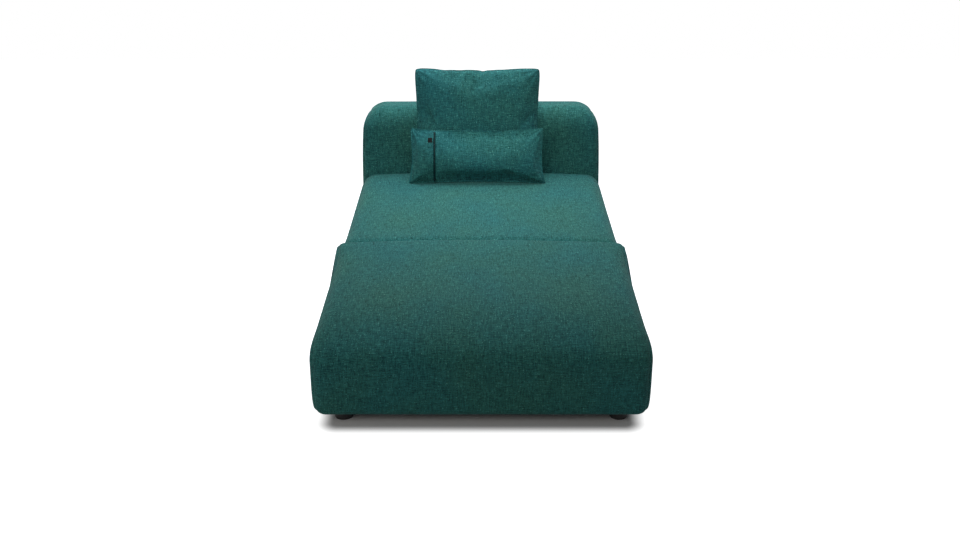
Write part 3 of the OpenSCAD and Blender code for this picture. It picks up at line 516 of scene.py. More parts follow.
def softDents(points, normals, seed, size, amount):
    moved = points.copy()
    shift = Vector((seed * 3.1, seed * 1.7, seed * 2.3))
    for i, p in enumerate(points):
        dent = noise.noise(Vector(p) / size + shift)
        moved[i] = p - normals[i] * amount * (0.5 + 0.5 * dent)
    return moved


def readVectors(items, field):
    values = np.zeros(len(items) * 3, np.float32)
    items.foreach_get(field, values)
    return values.reshape(-1, 3).astype(float)


def setPoints(mesh, points):
    mesh.vertices.foreach_set("co", points.astype(np.float32).ravel())
    mesh.update()


def changeMesh(data, change):
    work = bmesh.new()
    work.from_mesh(data)
    change(work)
    work.to_mesh(data)
    work.free()


def turnOutward(work):
    bmesh.ops.recalc_face_normals(work, faces=work.faces)


def foldLip(work):  # the cover's lower edge turns up inside
    edges = [edge for edge in work.edges if edge.is_boundary]
    for item in bmesh.ops.extrude_edge_only(work, edges=edges)["geom"]:
        if isinstance(item, bmesh.types.BMVert):
            item.co.z += meshSettings.lip
    turnOutward(work)


def addPiece(name, data, material, body, replaced):
    piece = addObject(name, data)
    data.materials.clear()
    data.materials.append(material)
    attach(piece, body)
    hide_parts(*replaced)
    return piece


def panelSpot(point):  # where a point of a side panel lies in the flat cloth
    x, y, z = point
    return (y if x > 0 else -y, z)


def cellsOf(columns, rows):  # the four corners of each cell of a grid
    return [[(i, j), (i + 1, j), (i + 1, j + 1), (i, j + 1)]
            for i in range(columns - 1) for j in range(rows - 1)]


# Faces between the rings, and the place of each of their corners in the flat cloth
def blockFaces(block, mesh, part, share, rings, grid, run):
    count = len(part)
    middle = len(rings) // 2
    length = lengthAlong(grid[middle])
    inside = block.half - mesh.bottomEdge
    faces, corners = [], []
    for k in range(len(rings) - 1):
        panel = rings[k][1] or rings[k + 1][1]
        for j in range(count):
            n = (j + 1) % count
            under = part[j] == 5 and part[n] == 5 and share[n] - share[j] > 0.5
            if under and not panel and max(abs(grid[k][j][0]), abs(grid[k + 1][j][0])) < inside:
                continue
            faces.append((k * count + j, (k + 1) * count + j, (k + 1) * count + n, k * count + n))
            for ring, column, at in ((k, j, j), (k + 1, j, j), (k + 1, n, j + 1), (k, n, j + 1)):
                if panel:
                    corners.append(panelSpot(grid[ring][column]))
                else:
                    corners.append((run[ring][column] - run[middle][column], length[at]))
    return faces, corners


def makeBlock(name, block, mesh, material):
    block = Settings({**plainBlock, **block})
    block["low"], block["high"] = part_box(block.node)
    block["half"] = block.high.x + block.wide
    block.high.z += block.proud
    block.low.z -= mesh.droop
    part, share, rings = blockRings(block, mesh)
    count = len(part)
    grid = np.array([ring[0] for ring in rings])
    gaps = np.linalg.norm(np.diff(grid, axis=0), axis=2)
    run = np.concatenate([np.zeros((1, count)), np.cumsum(gaps, axis=0)])
    fromSeam = np.min([np.abs(run - run[k]) for k, ring in enumerate(rings) if ring[2]], axis=0).ravel()
    faces, corners = blockFaces(block, mesh, part, share, rings, grid, run)
    points = grid.reshape(-1, 3)
    for k in (0, len(rings) - 1):  # the last ring on each side closes on its middle
        tip = len(points)
        centre = grid[k].mean(axis=0)
        centre[0] = grid[k][0][0]
        points = np.vstack([points, centre])
        fromSeam = np.append(fromSeam, 1.0)
        for j in range(count):
            edge = [k * count + j, k * count + (j + 1) % count]
            faces.append((*(edge[::-1] if k else edge), tip))
            corners += [panelSpot(points[i]) for i in faces[-1]]

    data = newMesh(name, points, faces)
    addCloth(data, corners)
    data.update()
    normals = readVectors(data.vertex_normals, "vector")
    points = softDents(points, normals, len(name), mesh.dentSize, mesh.dent)
    # the seam pulls the cloth in, with small puckers along it
    pull = mesh.seamDepth * bell(fromSeam, mesh.seamWidth)
    pull += mesh.creaseDepth * bell(fromSeam, mesh.creaseWidth)
    for i in np.nonzero(fromSeam < mesh.puckerReach)[0]:
        pucker = noise.noise(Vector(points[i]) / mesh.puckerSize) * (fromSeam[i] > mesh.stitch)
        pull[i] += mesh.pucker * pucker * bell(fromSeam[i], mesh.puckerSize)
    setPoints(data, points - normals * pull[:, None])
    changeMesh(data, foldLip)
    data.shade_smooth()
    piece = addPiece(name, data, material, block.body, [block.node])
    print(name, "made with", len(data.polygons), "faces")


for blockName, block in blockSettings.items():
    makeBlock(blockName + "Upholstery", block, meshSettings, materials["upholstery"])


# Loose cushions. Front and back panels are grids over the same flat cut; their border is shared
cushionSettings = Settings(
    headCushion=Settings(
        node="head_cushion_cover", filling="head_cushion_filling", body="head_cushion", half=(0.284, 0.241),
        crown=(0.058, 0.034), pull=0.011, dip=0.011, lean=7, x=-0.016, y=0.674235, z=0.44029, full=0.62,
        upper=0.4, even=0.75, plump=0.46, sag=-0.05, tall=0.007, wave=0.0022, round=0.007,
        ears=(0.0, 0.003), pinches=((0.09, 0.05, 0.0055), (-0.5, 0.12, 0.003), (0.42, 0.1, 0.0015)),
        zip=None, grid=(72, 62), seed=3,
    ),
    lumbarCushion=Settings(
        node="lumbar_cover", filling="lumbar_filling", body="lumbar_cushion", half=(0.3, 0.12),
        crown=(0.054, 0.026), pull=0.008, dip=0.008, lean=14.5, x=-0.018, y=0.577477, z=0.429423, full=0.74,
        upper=0.74, even=0.0, plump=0.86, sag=0.3, tall=0.0, wave=0.001, round=0.004, ears=(0.008, 0.012),
        pinches=((0.3, 0.12, 0.002),), zip=-0.192, grid=(78, 36), seed=8,
    ),
)
zipSettings = Settings(
    x=-0.192, crown=0.0463852, half=0.115277, radius=0.166736, gap=0.0003, reach=40.5, tapeHalf=0.006,
    tapeThick=0.0008, toothHigh=0.0013, toothReach=0.0024, pitch=0.0017, toothEnd=0.03, stop=(0.022, 0.008),
    lip=((0.0026, -0.0012), (0.0034, 0.0009), (0.0046, 0.0014), (0.0062, 0.0021), (0.0085, 0.0016),
         (0.0125, 0.0005), (0.018, 0.0)),
)
blowSettings = Settings(cut=(1.055, 1.09), loft=0.004, frames=33)
clothSettings = dict(
    quality=7, mass=0.35, air_damping=4, tension_stiffness=30, compression_stiffness=30, shear_stiffness=12,
    bending_stiffness=1.6, tension_damping=12, compression_damping=12, shear_damping=12, use_pressure=True,
    uniform_pressure_force=9,
)


def closerAtEnds(count, share):  # from -1 to 1 in steps that get shorter towards both ends
    return np.array([-math.cos(math.pi * i / count) * share + (2 * i / count - 1) * (1 - share)
                     for i in range(count + 1)])


def cushionAxes(pad):
    u, v = closerAtEnds(pad.grid[0], 0.35), closerAtEnds(pad.grid[1], 0.55)
    if pad.zip is not None:  # columns on both sides of the zip
        spots = [pad.zip + side * offset for offset, _ in zipSettings.lip for side in (-1, 1)]
        spots = np.array(sorted(spots)) / pad.half[0]
        u = np.sort(np.concatenate([u[(u < spots[0] - 0.012) | (u > spots[-1] + 0.012)], spots]))
    return u, v


def plainForm(pad, u, v):
    halfX, halfZ = pad.half
    uu, vv = np.meshgrid(u, v, indexing="ij")
    x = halfX * uu - pad.pull * uu ** 5 * (1 - vv ** 2)
    z = (halfZ - pad.dip * (1 - uu ** 2)) * vv
    full = np.interp(vv, (-0.2, 0.7), (pad.full, pad.upper))
    thick = np.sqrt(np.maximum(0, 1 - np.abs(uu) ** 3)) * np.maximum(0, 1 - vv ** 2) ** full
    front = np.stack([x, -pad.crown[0] * thick, z], 2)
    back = np.stack([x, pad.crown[1] * thick, z], 2)
    return front, back


# The flat cut is blown up like a real cushion, then brought to the size of its solid
def inflate(name, pad, u, v):
    halfX, halfZ = (half * spare for half, spare in zip(pad.half, blowSettings.cut))
    columns, rows = len(u), len(v)
    uu, vv = np.meshgrid(u, v, indexing="ij")
    loft = blowSettings.loft * (1 - np.abs(uu) ** 6) * (1 - np.abs(vv) ** 6)
    front = np.stack([uu * halfX, -loft, vv * halfZ], 2)
    back = np.stack([uu * halfX, loft, vv * halfZ], 2)
    index = np.arange(columns * rows).reshape(columns, rows)
    inner = np.zeros((columns, rows), bool)
    inner[1:-1, 1:-1] = True
    other = index.copy()
    other[inner] = columns * rows + np.arange(inner.sum())
    faces = []
    for cell in cellsOf(columns, rows):
        faces += [[index[spot] for spot in cell], [other[spot] for spot in cell[::-1]]]
    data = newMesh(name + "Blown", np.concatenate([front.reshape(-1, 3), back[inner]]), faces)
    blown = addObject(name + "Blown", data)
    cloth = blown.modifiers.new("cloth", "CLOTH")
    for key, value in clothSettings.items():
        setattr(cloth.settings, key, value)
    cloth.settings.effector_weights.gravity = 0
    cloth.collision_settings.use_collision = False
    for number in range(1, blowSettings.frames + 1):
        scene.frame_set(number)
    seen = blown.evaluated_get(bpy.context.evaluated_depsgraph_get())
    result = readVectors(seen.data.vertices, "co")
    scene.frame_set(1)
    bpy.data.objects.remove(blown)
    bpy.data.meshes.remove(data)
    front, back = (result[order.ravel()].reshape(columns, rows, 3) for order in (index, other))
    width, high = (np.abs(front[:, :, axis]).max() for axis in (0, 2))
    deep = -front[:, :, 1].min(), back[:, :, 1].max()
    print(name, "blown to", *(round(float(size), 3) for size in (2 * width, 2 * high, *deep)))
    goal = plainForm(pad, u, v)[0]
    hold = np.maximum(np.abs(uu), np.abs(vv))[:, :, None] ** 6
    for face, depth, crown in zip((front, back), deep, pad.crown):
        face[:, :, 0] *= pad.half[0] / width
        face[:, :, 2] *= pad.half[1] / high
        face[:, :, 1] = np.sign(face[:, :, 1]) * crown * np.abs(face[:, :, 1] / depth) ** pad.plump
        # the seam keeps to the solid's outline, the faces only follow it softly
        face[:, :, (0, 2)] += (goal - face)[:, :, (0, 2)] * hold
    front[:, :, 1] += (goal - front)[:, :, 1] * pad.even  # a well filled front shows no corner creases
    return front, back


def sagFront(pad, front, v):  # the filling settles, so the front is fullest away from its middle
    for column in front:
        column[:, 1] = np.interp(v + pad.sag * (1 - v ** 2), v, column[:, 1])


def zipArc(z):
    reach = np.clip(np.abs(z), 0, zipSettings.half)
    radius = zipSettings.radius - zipSettings.gap
    return np.sqrt(radius ** 2 - reach ** 2) - (radius - zipSettings.crown)


detailSettings = Settings(
    folds=11, foldDeep=0.0032, foldReach=0.075, foldRoom=0.02, puff=0.003, puffSize=0.11, pucker=0.0016,
    puckerReach=0.022, puckerEnd=0.06, puckerSize=(0.019, 0.023), seamRoom=0.012, sewn=0.0007, thin=0.0012,
    zipFlat=(0.014, 0.03), lipEnd=0.03, waveSize=0.05,
)


# Details that come after the form: folds at the corners, puckers along the seams, the zip's lips
def detailCushion(pad, front, back, u, v, form):
    halfX, halfZ = pad.half
    uu, vv = np.meshgrid(u, v, indexing="ij")
    fromEnd, fromTop = halfX * (1 - np.abs(uu)), halfZ * (1 - np.abs(vv))
    seam = np.minimum(fromEnd, fromTop)
    radius = np.hypot(fromEnd, fromTop)
    angle = np.arctan2(fromTop, fromEnd + 1e-6)
    fold = np.cos(angle * form.folds + pad.seed + 2 * np.sign(uu) + np.sign(vv)) * form.foldDeep
    fold *= np.exp(-((radius / form.foldReach) ** 1.5)) * np.clip(radius / form.foldRoom, 0, 1)
    border = (np.abs(uu) > 1 - 1e-9) | (np.abs(vv) > 1 - 1e-9)
    for face, way in ((front, -1), (back, 1)):
        x, z = face[:, :, 0], face[:, :, 2]
        puff = np.zeros_like(x)
        for i, j in np.ndindex(x.shape):
            spot = Vector((x[i, j] + pad.seed, way * 3.0, z[i, j]))
            puff[i, j] = form.puff * noise.noise(spot / form.puffSize)
            if seam[i, j] < form.puckerEnd:
                pucker = noise.noise(spot / form.puckerSize[int(fromTop[i, j] >= fromEnd[i, j])])
                puff[i, j] += form.pucker * pucker * bell(seam[i, j], form.puckerReach)
        face[:, :, 1] += way * (fold + puff) * np.clip(seam / form.seamRoom, 0, 1)
        if pad.zip is not None and way < 0:
            away = np.abs(x - pad.zip)
            keep = bell(np.clip(away - form.zipFlat[0], 0, 1), form.zipFlat[1])
            lip = np.interp(away, *zip(*zipSettings.lip)) * np.clip((1 - np.abs(vv)) / form.lipEnd, 0, 1)
            face[:, :, 1] = face[:, :, 1] * (1 - keep) - zipArc(z) * keep - lip
        # the border is shared, with a small gap where the cloths are sewn
        face[:, :, 1] = way * np.where(border, form.sewn, np.maximum(way * face[:, :, 1], form.thin))
    # the upper seam waves a little, and the corners are rounded or drawn out
    top = np.clip((vv - 0.6) / 0.4, 0, 1) ** 2
    wave = [noise.noise(Vector((pos * halfX / form.waveSize + pad.seed, 0.5, 0))) for pos in u]
    wave = np.array(wave) * pad.wave - sum(deep * bell(u - place, wide) for place, wide, deep in pad.pinches)
    cornerU, cornerV = np.abs(uu) ** 14, np.abs(vv) ** (14 * halfZ / halfX)
    earU, earV = np.abs(uu) ** 7, np.abs(vv) ** 3
    upper = np.clip(vv, 0, 1)
    rise, out = pad.ears
    for face in (front, back):
        face[:, :, 2] += top * wave[:, None] + rise * earU * upper ** 4 + pad.tall * upper ** 2
        face[:, :, 2] -= pad.round * cornerU * upper ** 3
        face[:, :, 0] += np.sign(uu) * (out * earU * earV * (vv < 0) - pad.round * cornerV * np.abs(uu) ** 3)


def placeCushion(pad, points):
    lean = math.radians(pad.lean)
    y, z = points[:, 1], points[:, 2] + pad.half[1] - pad.dip
    return np.stack([points[:, 0] + pad.x, y * math.cos(lean) + z * math.sin(lean) + pad.y,
                     -y * math.sin(lean) + z * math.cos(lean) + pad.z], 1)


def borderLoop(columns, rows):
    loop = [(i, 0) for i in range(columns)] + [(columns - 1, j) for j in range(1, rows)]
    loop += [(i, rows - 1) for i in range(columns - 2, -1, -1)] + [(0, j) for j in range(rows - 2, 0, -1)]
    return loop


# The front grid, the back grid, and round their border the rings of the seam's narrow ridge
def cushionMesh(name, pad, front, back, u, v, seamRidge):
    columns, rows = len(u), len(v)
    halfX, halfZ = pad.half
    count = columns * rows
    points = [front.reshape(-1, 3), back.reshape(-1, 3)]
    faces, corners = [], []
    for way, mirror in ((0, 1), (1, -1)):
        for cell in cellsOf(columns, rows):
            faces.append([way * count + i * rows + j for i, j in cell[::mirror]])
            corners += [(u[i] * halfX * mirror + 3 * way, v[j] * halfZ) for i, j in cell[::mirror]]
    loop = borderLoop(columns, rows)
    rim = np.array([front[a, b] for a, b in loop])
    ahead = np.roll(rim, -1, axis=0) - np.roll(rim, 1, axis=0)
    out = np.stack([ahead[:, 2], np.zeros(len(rim)), -ahead[:, 0]], 1)
    out /= np.linalg.norm(out, axis=1)[:, None]
    run = lengthAlong(rim)
    seamRings = [[a * rows + b for a, b in loop]]
    for outward, y in seamRidge:
        ring = rim + out * outward
        ring[:, 1] = y
        points.append(ring)
        base = 2 * count + (len(seamRings) - 1) * len(rim)
        seamRings.append(range(base, base + len(rim)))
    seamRings.append([count + a * rows + b for a, b in loop])
    for k, (ring, after) in enumerate(zip(seamRings, seamRings[1:])):
        low, high = 2 + k * ridgeStep, 2 + (k + 1) * ridgeStep
        for i in range(len(rim)):
            n = (i + 1) % len(rim)
            faces.append((ring[i], after[i], after[n], ring[n]))
            corners += [(run[i], low), (run[i], high), (run[i + 1], high), (run[i + 1], low)]
    data = newMesh(name, placeCushion(pad, np.concatenate(points)), faces)
    addCloth(data, corners)
    changeMesh(data, turnOutward)
    data.shade_smooth()
    return data


ridge = [(0.0016, -0.0016), (0.003, -0.0011), (0.0034, 0.0), (0.003, 0.0011), (0.0016, 0.0016)]
ridgeStep = 0.0015
fillingSettings = Settings(inset=0.013, thick=0.86, ridge=[(0.001, 0.0)])


def makeCushion(name, pad):
    u, v = cushionAxes(pad)
    front, back = inflate(name, pad, u, v)
    sagFront(pad, front, v)
    detailCushion(pad, front, back, u, v, detailSettings)
    data = cushionMesh(name, pad, front, back, u, v, ridge)
    cushion = addPiece(name, data, materials["cushions"], pad.body, [pad.node])
    smooth = cushion.modifiers.new("smooth", "SUBSURF")
    smooth.levels = smooth.render_levels = 1
    # what fills it has the same form, drawn in, in its own lining
    rows, columns = [np.unique(np.append(np.arange(0, len(axis), 2), len(axis) - 1)) for axis in (u, v)]
    inset = fillingSettings.inset
    shrink = np.array([1 - inset / pad.half[0], fillingSettings.thick, 1 - inset / pad.half[1]])
    form = [face[np.ix_(rows, columns)] * shrink for face in (front, back)]
    data = cushionMesh(name + "Filling", pad, *form, u[rows], v[columns], fillingSettings.ridge)
    filling = addPiece(name + "Filling", data, materials["fibre"], pad.body, [pad.filling])
    print(name, "made")
    return cushion


# Non-woven white lining round the filling, and open foam
def makeSoftMaterial(name, low, high, size):
    material, tree, shader = newMaterial(name, Roughness=0.95)
    grain = noiseNode(placeOnSurface(tree), size, 3.0, 0.65)
    feed(shader.inputs["Base Color"], mixColor(tree, grain.mapped(0.3, 0.7), low, high))
    addBump(shader, grain, 0.5, 0.001)
    return material


materials["fibre"] = makeSoftMaterial("liningWhite", rgb(216, 214, 206), rgb(238, 237, 231), 420)
materials["foam"] = makeSoftMaterial("foamYellow", rgb(214, 196, 138), rgb(236, 222, 172), 650)
cushions = {name: makeCushion(name, pad) for name, pad in cushionSettings.items()}


# Zip and label of the lumbar cushion
def arcPoint(x, rise, angle):  # a point above the zip's arc, in the cushion's own frame
    radius = zipSettings.radius + rise
    centre = zipSettings.radius - zipSettings.gap - zipSettings.crown
    return x + zipSettings.x, centre - radius * math.cos(angle), -radius * math.sin(angle)


def sweepAlongZip(points, faces, profile, angles):
    base, count = len(points), len(profile)
    points += [arcPoint(x, rise, angle) for angle in angles for x, rise in profile]
    last = base + (len(angles) - 1) * count
    for at in range(base, last, count):
        for i in range(count):
            n = (i + 1) % count
            faces.append((at + i, at + n, at + count + n, at + count + i))
    faces.append(range(base + count - 1, base - 1, -1))
    faces.append(range(last, last + count))


def addZipPiece(name, points, faces):
    data = newMesh(name, placeCushion(cushionSettings.lumbarCushion, np.array(points)), faces)
    addPiece(name, data, materials[name], "lumbar_cushion", ["zip_chain"])


def makeZip(form):
    half, thick, high, long = (form[key] for key in ("tapeHalf", "tapeThick", "toothHigh", "toothReach"))
    reach = math.radians(form.reach)
    low = thick - 0.0002
    tape = [(-half, 0.0001), (-half + 0.0002, 0), (half - 0.0002, 0), (half, 0.0001), (half, low),
            (half - 0.0003, thick), (0.0007, thick), (0, thick - 0.0003), (-0.0007, thick),
            (-half + 0.0003, thick), (-half, low)]
    points, faces = [], []
    sweepAlongZip(points, faces, tape, np.linspace(-reach, reach, 70))
    addZipPiece("zipTape", points, faces)
    points, faces = [], []
    span = reach - form.toothEnd
    count = int(2 * span * form.radius / form.pitch)
    wide = 0.36 * form.pitch / form.radius
    tooth = [(long, low), (long, thick + high * 0.7), (long - 0.0006, thick + high), (-0.0002, thick + high),
             (-0.0008, thick + high * 0.65), (-0.0008, low)]
    for i in range(count):
        side = 1 if i % 2 else -1
        at = (i / (count - 1) * 2 - 1) * span
        sweepAlongZip(points, faces, [(side * x, rise) for x, rise in tooth][::side], (at - wide, at + wide))
    stop = [(-0.0021, low), (0.0021, low), (0.0021, thick + high), (-0.0021, thick + high)]
    for end in (-1, 1):
        sweepAlongZip(points, faces, stop, sorted(end * (reach - away) for away in form.stop))
    addZipPiece("zipTeeth", points, faces)
    print("zip made with", count, "teeth")


labelSettings = Settings(
    angle=-25.4, wide=0.022, near=0.0075, far=0.0288, fold=0.00045, lift=0.0004, under=(0.009, 0.012),
)


# A blank ribbon, folded once, sewn in beside the zip and lying on the cushion
def makeLabel(cushion, form):
    middle = -zipSettings.radius * math.sin(math.radians(form.angle))
    pad = cushionSettings.lumbarCushion
    data = cushion.data
    surface = BVHTree.FromPolygons([v.co[:] for v in data.vertices], [p.vertices[:] for p in data.polygons])
    inward = Vector(np.diff(placeCushion(pad, np.array([[0, 0, 0], [0, 1.0, 0]])), axis=0)[0])
    near, far, fold, lift = (form[key] for key in ("near", "far", "fold", "lift"))
    path = [(away, lift) for away in np.linspace(near, far, 13)]
    for angle in np.linspace(0.5, math.pi - 0.5, 5):
        path.append((far + fold * math.sin(angle), lift + fold * (1 - math.cos(angle))))
    path += [(away, lift + 2 * fold) for away in np.linspace(far, near, 13)]
    points = []
    for j in range(11):
        z = middle + (j / 10 - 0.5) * form.wide
        for away, rise in path:
            x = zipSettings.x - away
            start = Vector(placeCushion(pad, np.array([[x, -0.2, z]]))[0])
            depth = (surface.ray_cast(start, inward)[0] - start).length - 0.2
            under = np.interp(away, form.under, (1, 0))
            depth = depth * (1 - under) - zipArc(z) * under
            points.append((x, depth - rise - lift * math.sin(j * 0.6 + away * 200), z))
    count = len(path)
    faces = [(j * count + i, j * count + i + 1, (j + 1) * count + i + 1, (j + 1) * count + i)
             for j in range(10) for i in range(count - 1)]
    data = newMesh("lumbarLabel", placeCushion(pad, np.array(points)), faces)
    data.shade_smooth()
    label = addPiece(data.name, data, materials["label"], pad.body, ["lumbar_label"])
    print("label made")


def turnedPlace(tree):  # lays the weave out on upright and on level faces alike
    x, y, z = splitVector(placeOnSurface(tree))
    return joinVector(tree, x, y + z, 0.0)


def makeTape(name, dark, light, yarn, roughness):
    look = {"Yarn": yarn, "Dark": rgb(*dark), "Light": rgb(*light), "Fleck": rgb(*light)}
    return groupMaterial(name, weaveGroup, turnedPlace, look, (0.3, 0.0003), Roughness=roughness,
                         Specular_IOR_Level=0.06)


# Dust cloths under the chair and the pouf, with their cut-outs
dustSettings = dict(
    chairDustCloth=Settings(
        node="chair_dust_cover", body="chair", feet=(-0.04, 0.882), plate=(0.033, -0.0672),
    ),
    poufDustCloth=Settings(
        node="pouf_dust_cover", body="pouf", feet=(-0.882, -0.21), plate=(0.023, -0.1828),
    ),
)
dustShape = Settings(
    step=0.03, sag=0.006, wrinkle=0.0014, wrinkleSize=0.07, gap=0.0004, footX=0.464, footHalf=0.037,
    plateX=0.3, plateDeep=0.025,
)


def dropLoosePoints(work):
    bmesh.ops.delete(work, geom=[v for v in work.verts if not v.link_faces], context="VERTS")


def makeDustCloth(name, dust, shape):
    low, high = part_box(dust.node)
    cuts = [(side * shape.footX, y, shape.footHalf, shape.footHalf) for side in (-1, 1) for y in dust.feet]
    cuts += [(side * shape.plateX, dust.plate[1], dust.plate[0], shape.plateDeep) for side in (-1, 1)]
    lines = []
    for axis in (0, 1):
        edges = {round(cut[axis] + way * cut[axis + 2], 5) for cut in cuts for way in (-1, 1)}
        edges = sorted({low[axis], high[axis]} | {edge for edge in edges if low[axis] < edge < high[axis]})
        full = [edges[0]]
        for a, b in zip(edges, edges[1:]):
            steps = max(1, round((b - a) / shape.step))
            full += np.linspace(a, b, steps + 1)[1:].tolist()
        lines.append(full)
    points, faces, area = [], [], 0
    middle = (low + high) / 2
    for x in lines[0]:
        for y in lines[1]:
            reach = [abs(at - centre) / (end - centre) for at, centre, end in zip((x, y), middle, high)]
            wrinkle = shape.wrinkle * noise.noise(Vector((x, y, 0.3)) / shape.wrinkleSize)
            sag = (1 - reach[0] ** 4) * (1 - reach[1] ** 4) * (shape.sag + wrinkle)
            points.append((x, y, high.z - shape.gap - max(0, sag)))
    rows = len(lines[1])
    for i, (left, right) in enumerate(zip(lines[0], lines[0][1:])):
        for j, (near, far) in enumerate(zip(lines[1], lines[1][1:])):
            x, y = (left + right) / 2, (near + far) / 2
            if not any(abs(x - cut[0]) < cut[2] and abs(y - cut[1]) < cut[3] for cut in cuts):
                faces.append((i * rows + j, i * rows + j + 1, (i + 1) * rows + j + 1, (i + 1) * rows + j))
                area += (right - left) * (far - near)
    data = newMesh(name, points, faces)
    changeMesh(data, dropLoosePoints)
    data.shade_smooth()
    cloth = addPiece(name, data, materials["dust"], dust.body, [dust.node])
    print(name, "made, flat", round(high.x - low.x, 3), round(high.y - low.y, 3), "area", round(area, 4))


# Black spunbond with its pressed dots
def makeDustMaterial():
    material, tree, shader = newMaterial("blackSpunbond", Roughness=0.85)
    place = placeOnSurface(tree)
    dots = addNode(tree, "TexVoronoi", place, named={"Scale": 420, "Randomness": 0.15})
    height = Reading(dots, "Distance") + noiseNode(place, 900, 3.0, 0.7)
    color = mixColor(tree, height.mapped(0.5, 1.2), rgb(13, 13, 14), rgb(38, 38, 40))
    feed(shader.inputs["Base Color"], color)
    addBump(shader, height, 0.4, 0.0004)
    return material


# Foams: their solids, remeshed and softened
foamSettings = Settings(
    foams=dict(
        seatFoam=("seat_foam", "chair"), backrestFoam=("backrest_foam", "chair"),
        poufFoam=("pouf_foam", "pouf"),
    ),
    voxel=0.013, inset=0.002, dentSize=0.12, smoothings=3,
)


def soften(work):
    for _ in range(foamSettings.smoothings):
        bmesh.ops.smooth_vert(work, verts=work.verts, factor=0.5, use_axis_x=True, use_axis_y=True,
                              use_axis_z=True)


def makeFoam(name, node, body):
    rough = addObject(name + "Rough", nodes[node].data.copy())
    remesh = rough.modifiers.new("remesh", "REMESH")
    remesh.mode = "VOXEL"
    remesh.voxel_size = foamSettings.voxel
    seen = rough.evaluated_get(bpy.context.evaluated_depsgraph_get())
    data = bpy.data.meshes.new_from_object(seen)
    bpy.data.objects.remove(rough)
    data.name = name
    changeMesh(data, soften)
    points, normals = readVectors(data.vertices, "co"), readVectors(data.vertex_normals, "vector")
    setPoints(data, softDents(points, normals, len(name), foamSettings.dentSize, foamSettings.inset))
    data.shade_smooth()
    foam = addPiece(name, data, materials["foam"], body, [node])
    print(name, "made with", len(data.polygons), "faces")


# Wood, metal and moulded plastic for the nodes that stay
def makeGrainGroup():
    tree, given, out = newGroup("woodGrain", {"Place": None, "Rings": 90.0, "Dark": black, "Light": white})
    rings = given["Rings"]
    broad = noiseNode(given["Place"], rings * 0.25)
    line = noiseNode(given["Place"], rings, 4.0, 0.6)
    pore = noiseNode(given["Place"], rings * 9.0, 2.0, 0.6)
    tone = line * 0.6 + broad * 0.4
    color = mixColor(tree, tone.mapped(0.35, 0.65), given["Dark"], given["Light"])
    feed(out["Color"], mixColor(tree, pore.mapped(0.36, 0.28, 0.0, 0.6), color, given["Dark"]))
    feed(out["Roughness"], line.mapped(0.3, 0.7, 0.75, 0.55))
    feed(out["Height"], line + pore * 0.5)
    return tree


# Cloudy patches, fine speckle and metal's spangle for coated metal and moulded plastic
def makeFinishGroup():
    tree, given, out = newGroup("surfaceFinish", {
        "Place": None, "Patch Size": 40.0, "Speckle Size": 900.0, "Dark": black, "Light": white,
        "Smooth": 0.3, "Rough": 0.6})
    cloud = noiseNode(given["Place"], given["Patch Size"], 3.0, 0.55)
    cells = addNode(tree, "TexVoronoi", given["Place"], named={"Scale": given["Patch Size"] * 4.0})
    spangle = splitVector(Reading(cells, "Color"))[0]
    speckle = noiseNode(given["Place"], given["Speckle Size"], 2.0, 0.6)
    tone = cloud * 0.65 + spangle * 0.2 + speckle * 0.15
    feed(out["Color"], mixColor(tree, tone.mapped(0.35, 0.7), given["Dark"], given["Light"]))
    feed(out["Roughness"], tone.mapped(0.3, 0.7, given["Rough"], given["Smooth"]))
    feed(out["Height"], speckle)
    return tree


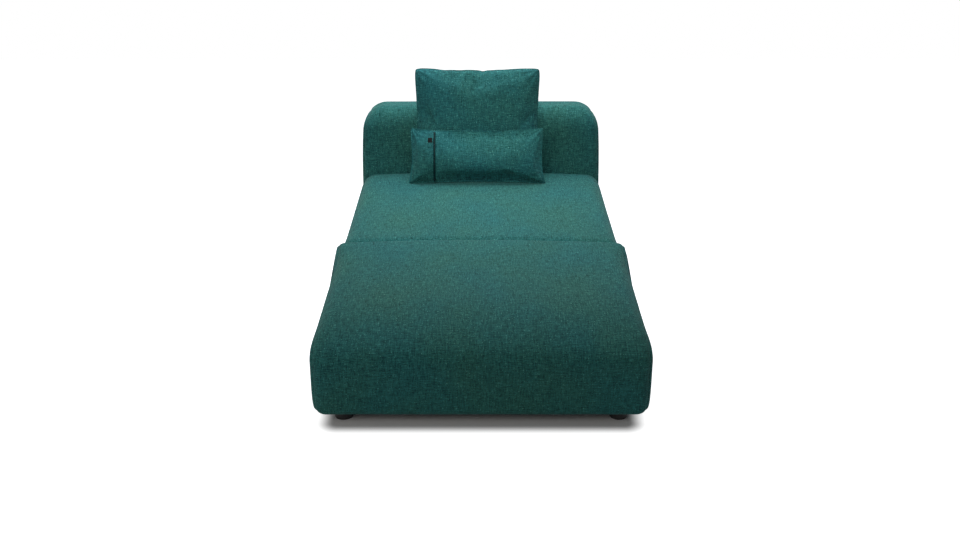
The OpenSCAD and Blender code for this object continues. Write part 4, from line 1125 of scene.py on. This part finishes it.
grainGroup, finishGroup = makeGrainGroup(), makeFinishGroup()
woodFinishes = dict(
    rail_wood=dict(dark=(164, 122, 80), light=(214, 178, 132), rings=90.0, long=0.07),
    block_wood=dict(dark=(150, 108, 72), light=(198, 156, 112), rings=120.0, long=0.1),
    board=dict(dark=(112, 86, 62), light=(146, 116, 86), rings=260.0, long=0.9),
)
hardFinishes = dict(
    spring_steel=dict(dark=(58, 60, 64), light=(96, 99, 104), rough=(0.32, 0.5), patch=60.0, metal=1.0),
    clip_steel=dict(dark=(150, 152, 154), light=(196, 198, 200), rough=(0.28, 0.45), patch=90.0, metal=1.0),
    zinc_steel=dict(
        dark=(160, 162, 160), light=(206, 207, 203), rough=(0.25, 0.42), patch=120.0, metal=1.0,
    ),
    bracket_steel=dict(dark=(24, 25, 27), light=(44, 45, 48), rough=(0.42, 0.58), patch=50.0),
    zip_metal=dict(dark=(7, 34, 37), light=(16, 54, 57), rough=(0.3, 0.44), patch=160.0, shine=0.12),
    foot_plastic=dict(dark=(10, 10, 11), light=(27, 27, 29), rough=(0.38, 0.55), patch=30.0),
)


def makeWood(node, dark, light, rings, long):  # the grain runs along the part's longest side
    sides = [high - low for low, high in zip(*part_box(node))]
    stretch = [long if side == max(sides) else 1.0 for side in sides]

    def placeAlong(tree):
        return placeOnSurface(tree).vector("MULTIPLY", stretch)

    look = {"Rings": rings, "Dark": rgb(*dark), "Light": rgb(*light)}
    return groupMaterial(node + "Wood", grainGroup, placeAlong, look, (0.35, 0.0006))


def makeHard(name, dark, light, rough, patch, metal=0.0, shine=0.5):
    look = {"Patch Size": patch, "Dark": rgb(*dark), "Light": rgb(*light)}
    look["Smooth"], look["Rough"] = rough
    return groupMaterial(name, finishGroup, placeOnSurface, look, (0.2, 0.0003), Metallic=metal,
                         Specular_IOR_Level=shine)


materials["zipTape"] = makeTape("tealZipTape", (8, 34, 37), (20, 66, 68), 0.0006, 0.85)
materials["zipTeeth"] = makeHard("blackZipTeeth", **hardFinishes["zip_metal"])
materials["label"] = makeTape("blackRibbon", (6, 9, 10), (24, 28, 29), 0.0005, 0.55)
materials["webbing"] = makeTape("elasticWebbing", (18, 18, 20), (62, 62, 64), 0.0016, 0.85)
materials["dust"] = makeDustMaterial()

makeZip(zipSettings)
makeLabel(cushions["lumbarCushion"], labelSettings)
for dustName, dust in dustSettings.items():
    makeDustCloth(dustName, dust, dustShape)
for foamName, foam in foamSettings.foams.items():
    makeFoam(foamName, *foam)

for part in frame["record"]["subparts"]:
    node, slot = nodes[part["node"]], part["material_slot"]
    if node.hide_render:
        continue
    if slot in woodFinishes:
        material = makeWood(part["node"], **woodFinishes[slot])
    else:
        if slot not in materials:
            materials[slot] = makeHard(slot + "Finish", **hardFinishes[slot])
        material = materials[slot]
    node.data.materials.clear()
    node.data.materials.append(material)
print("finishes given to the nodes that stay")
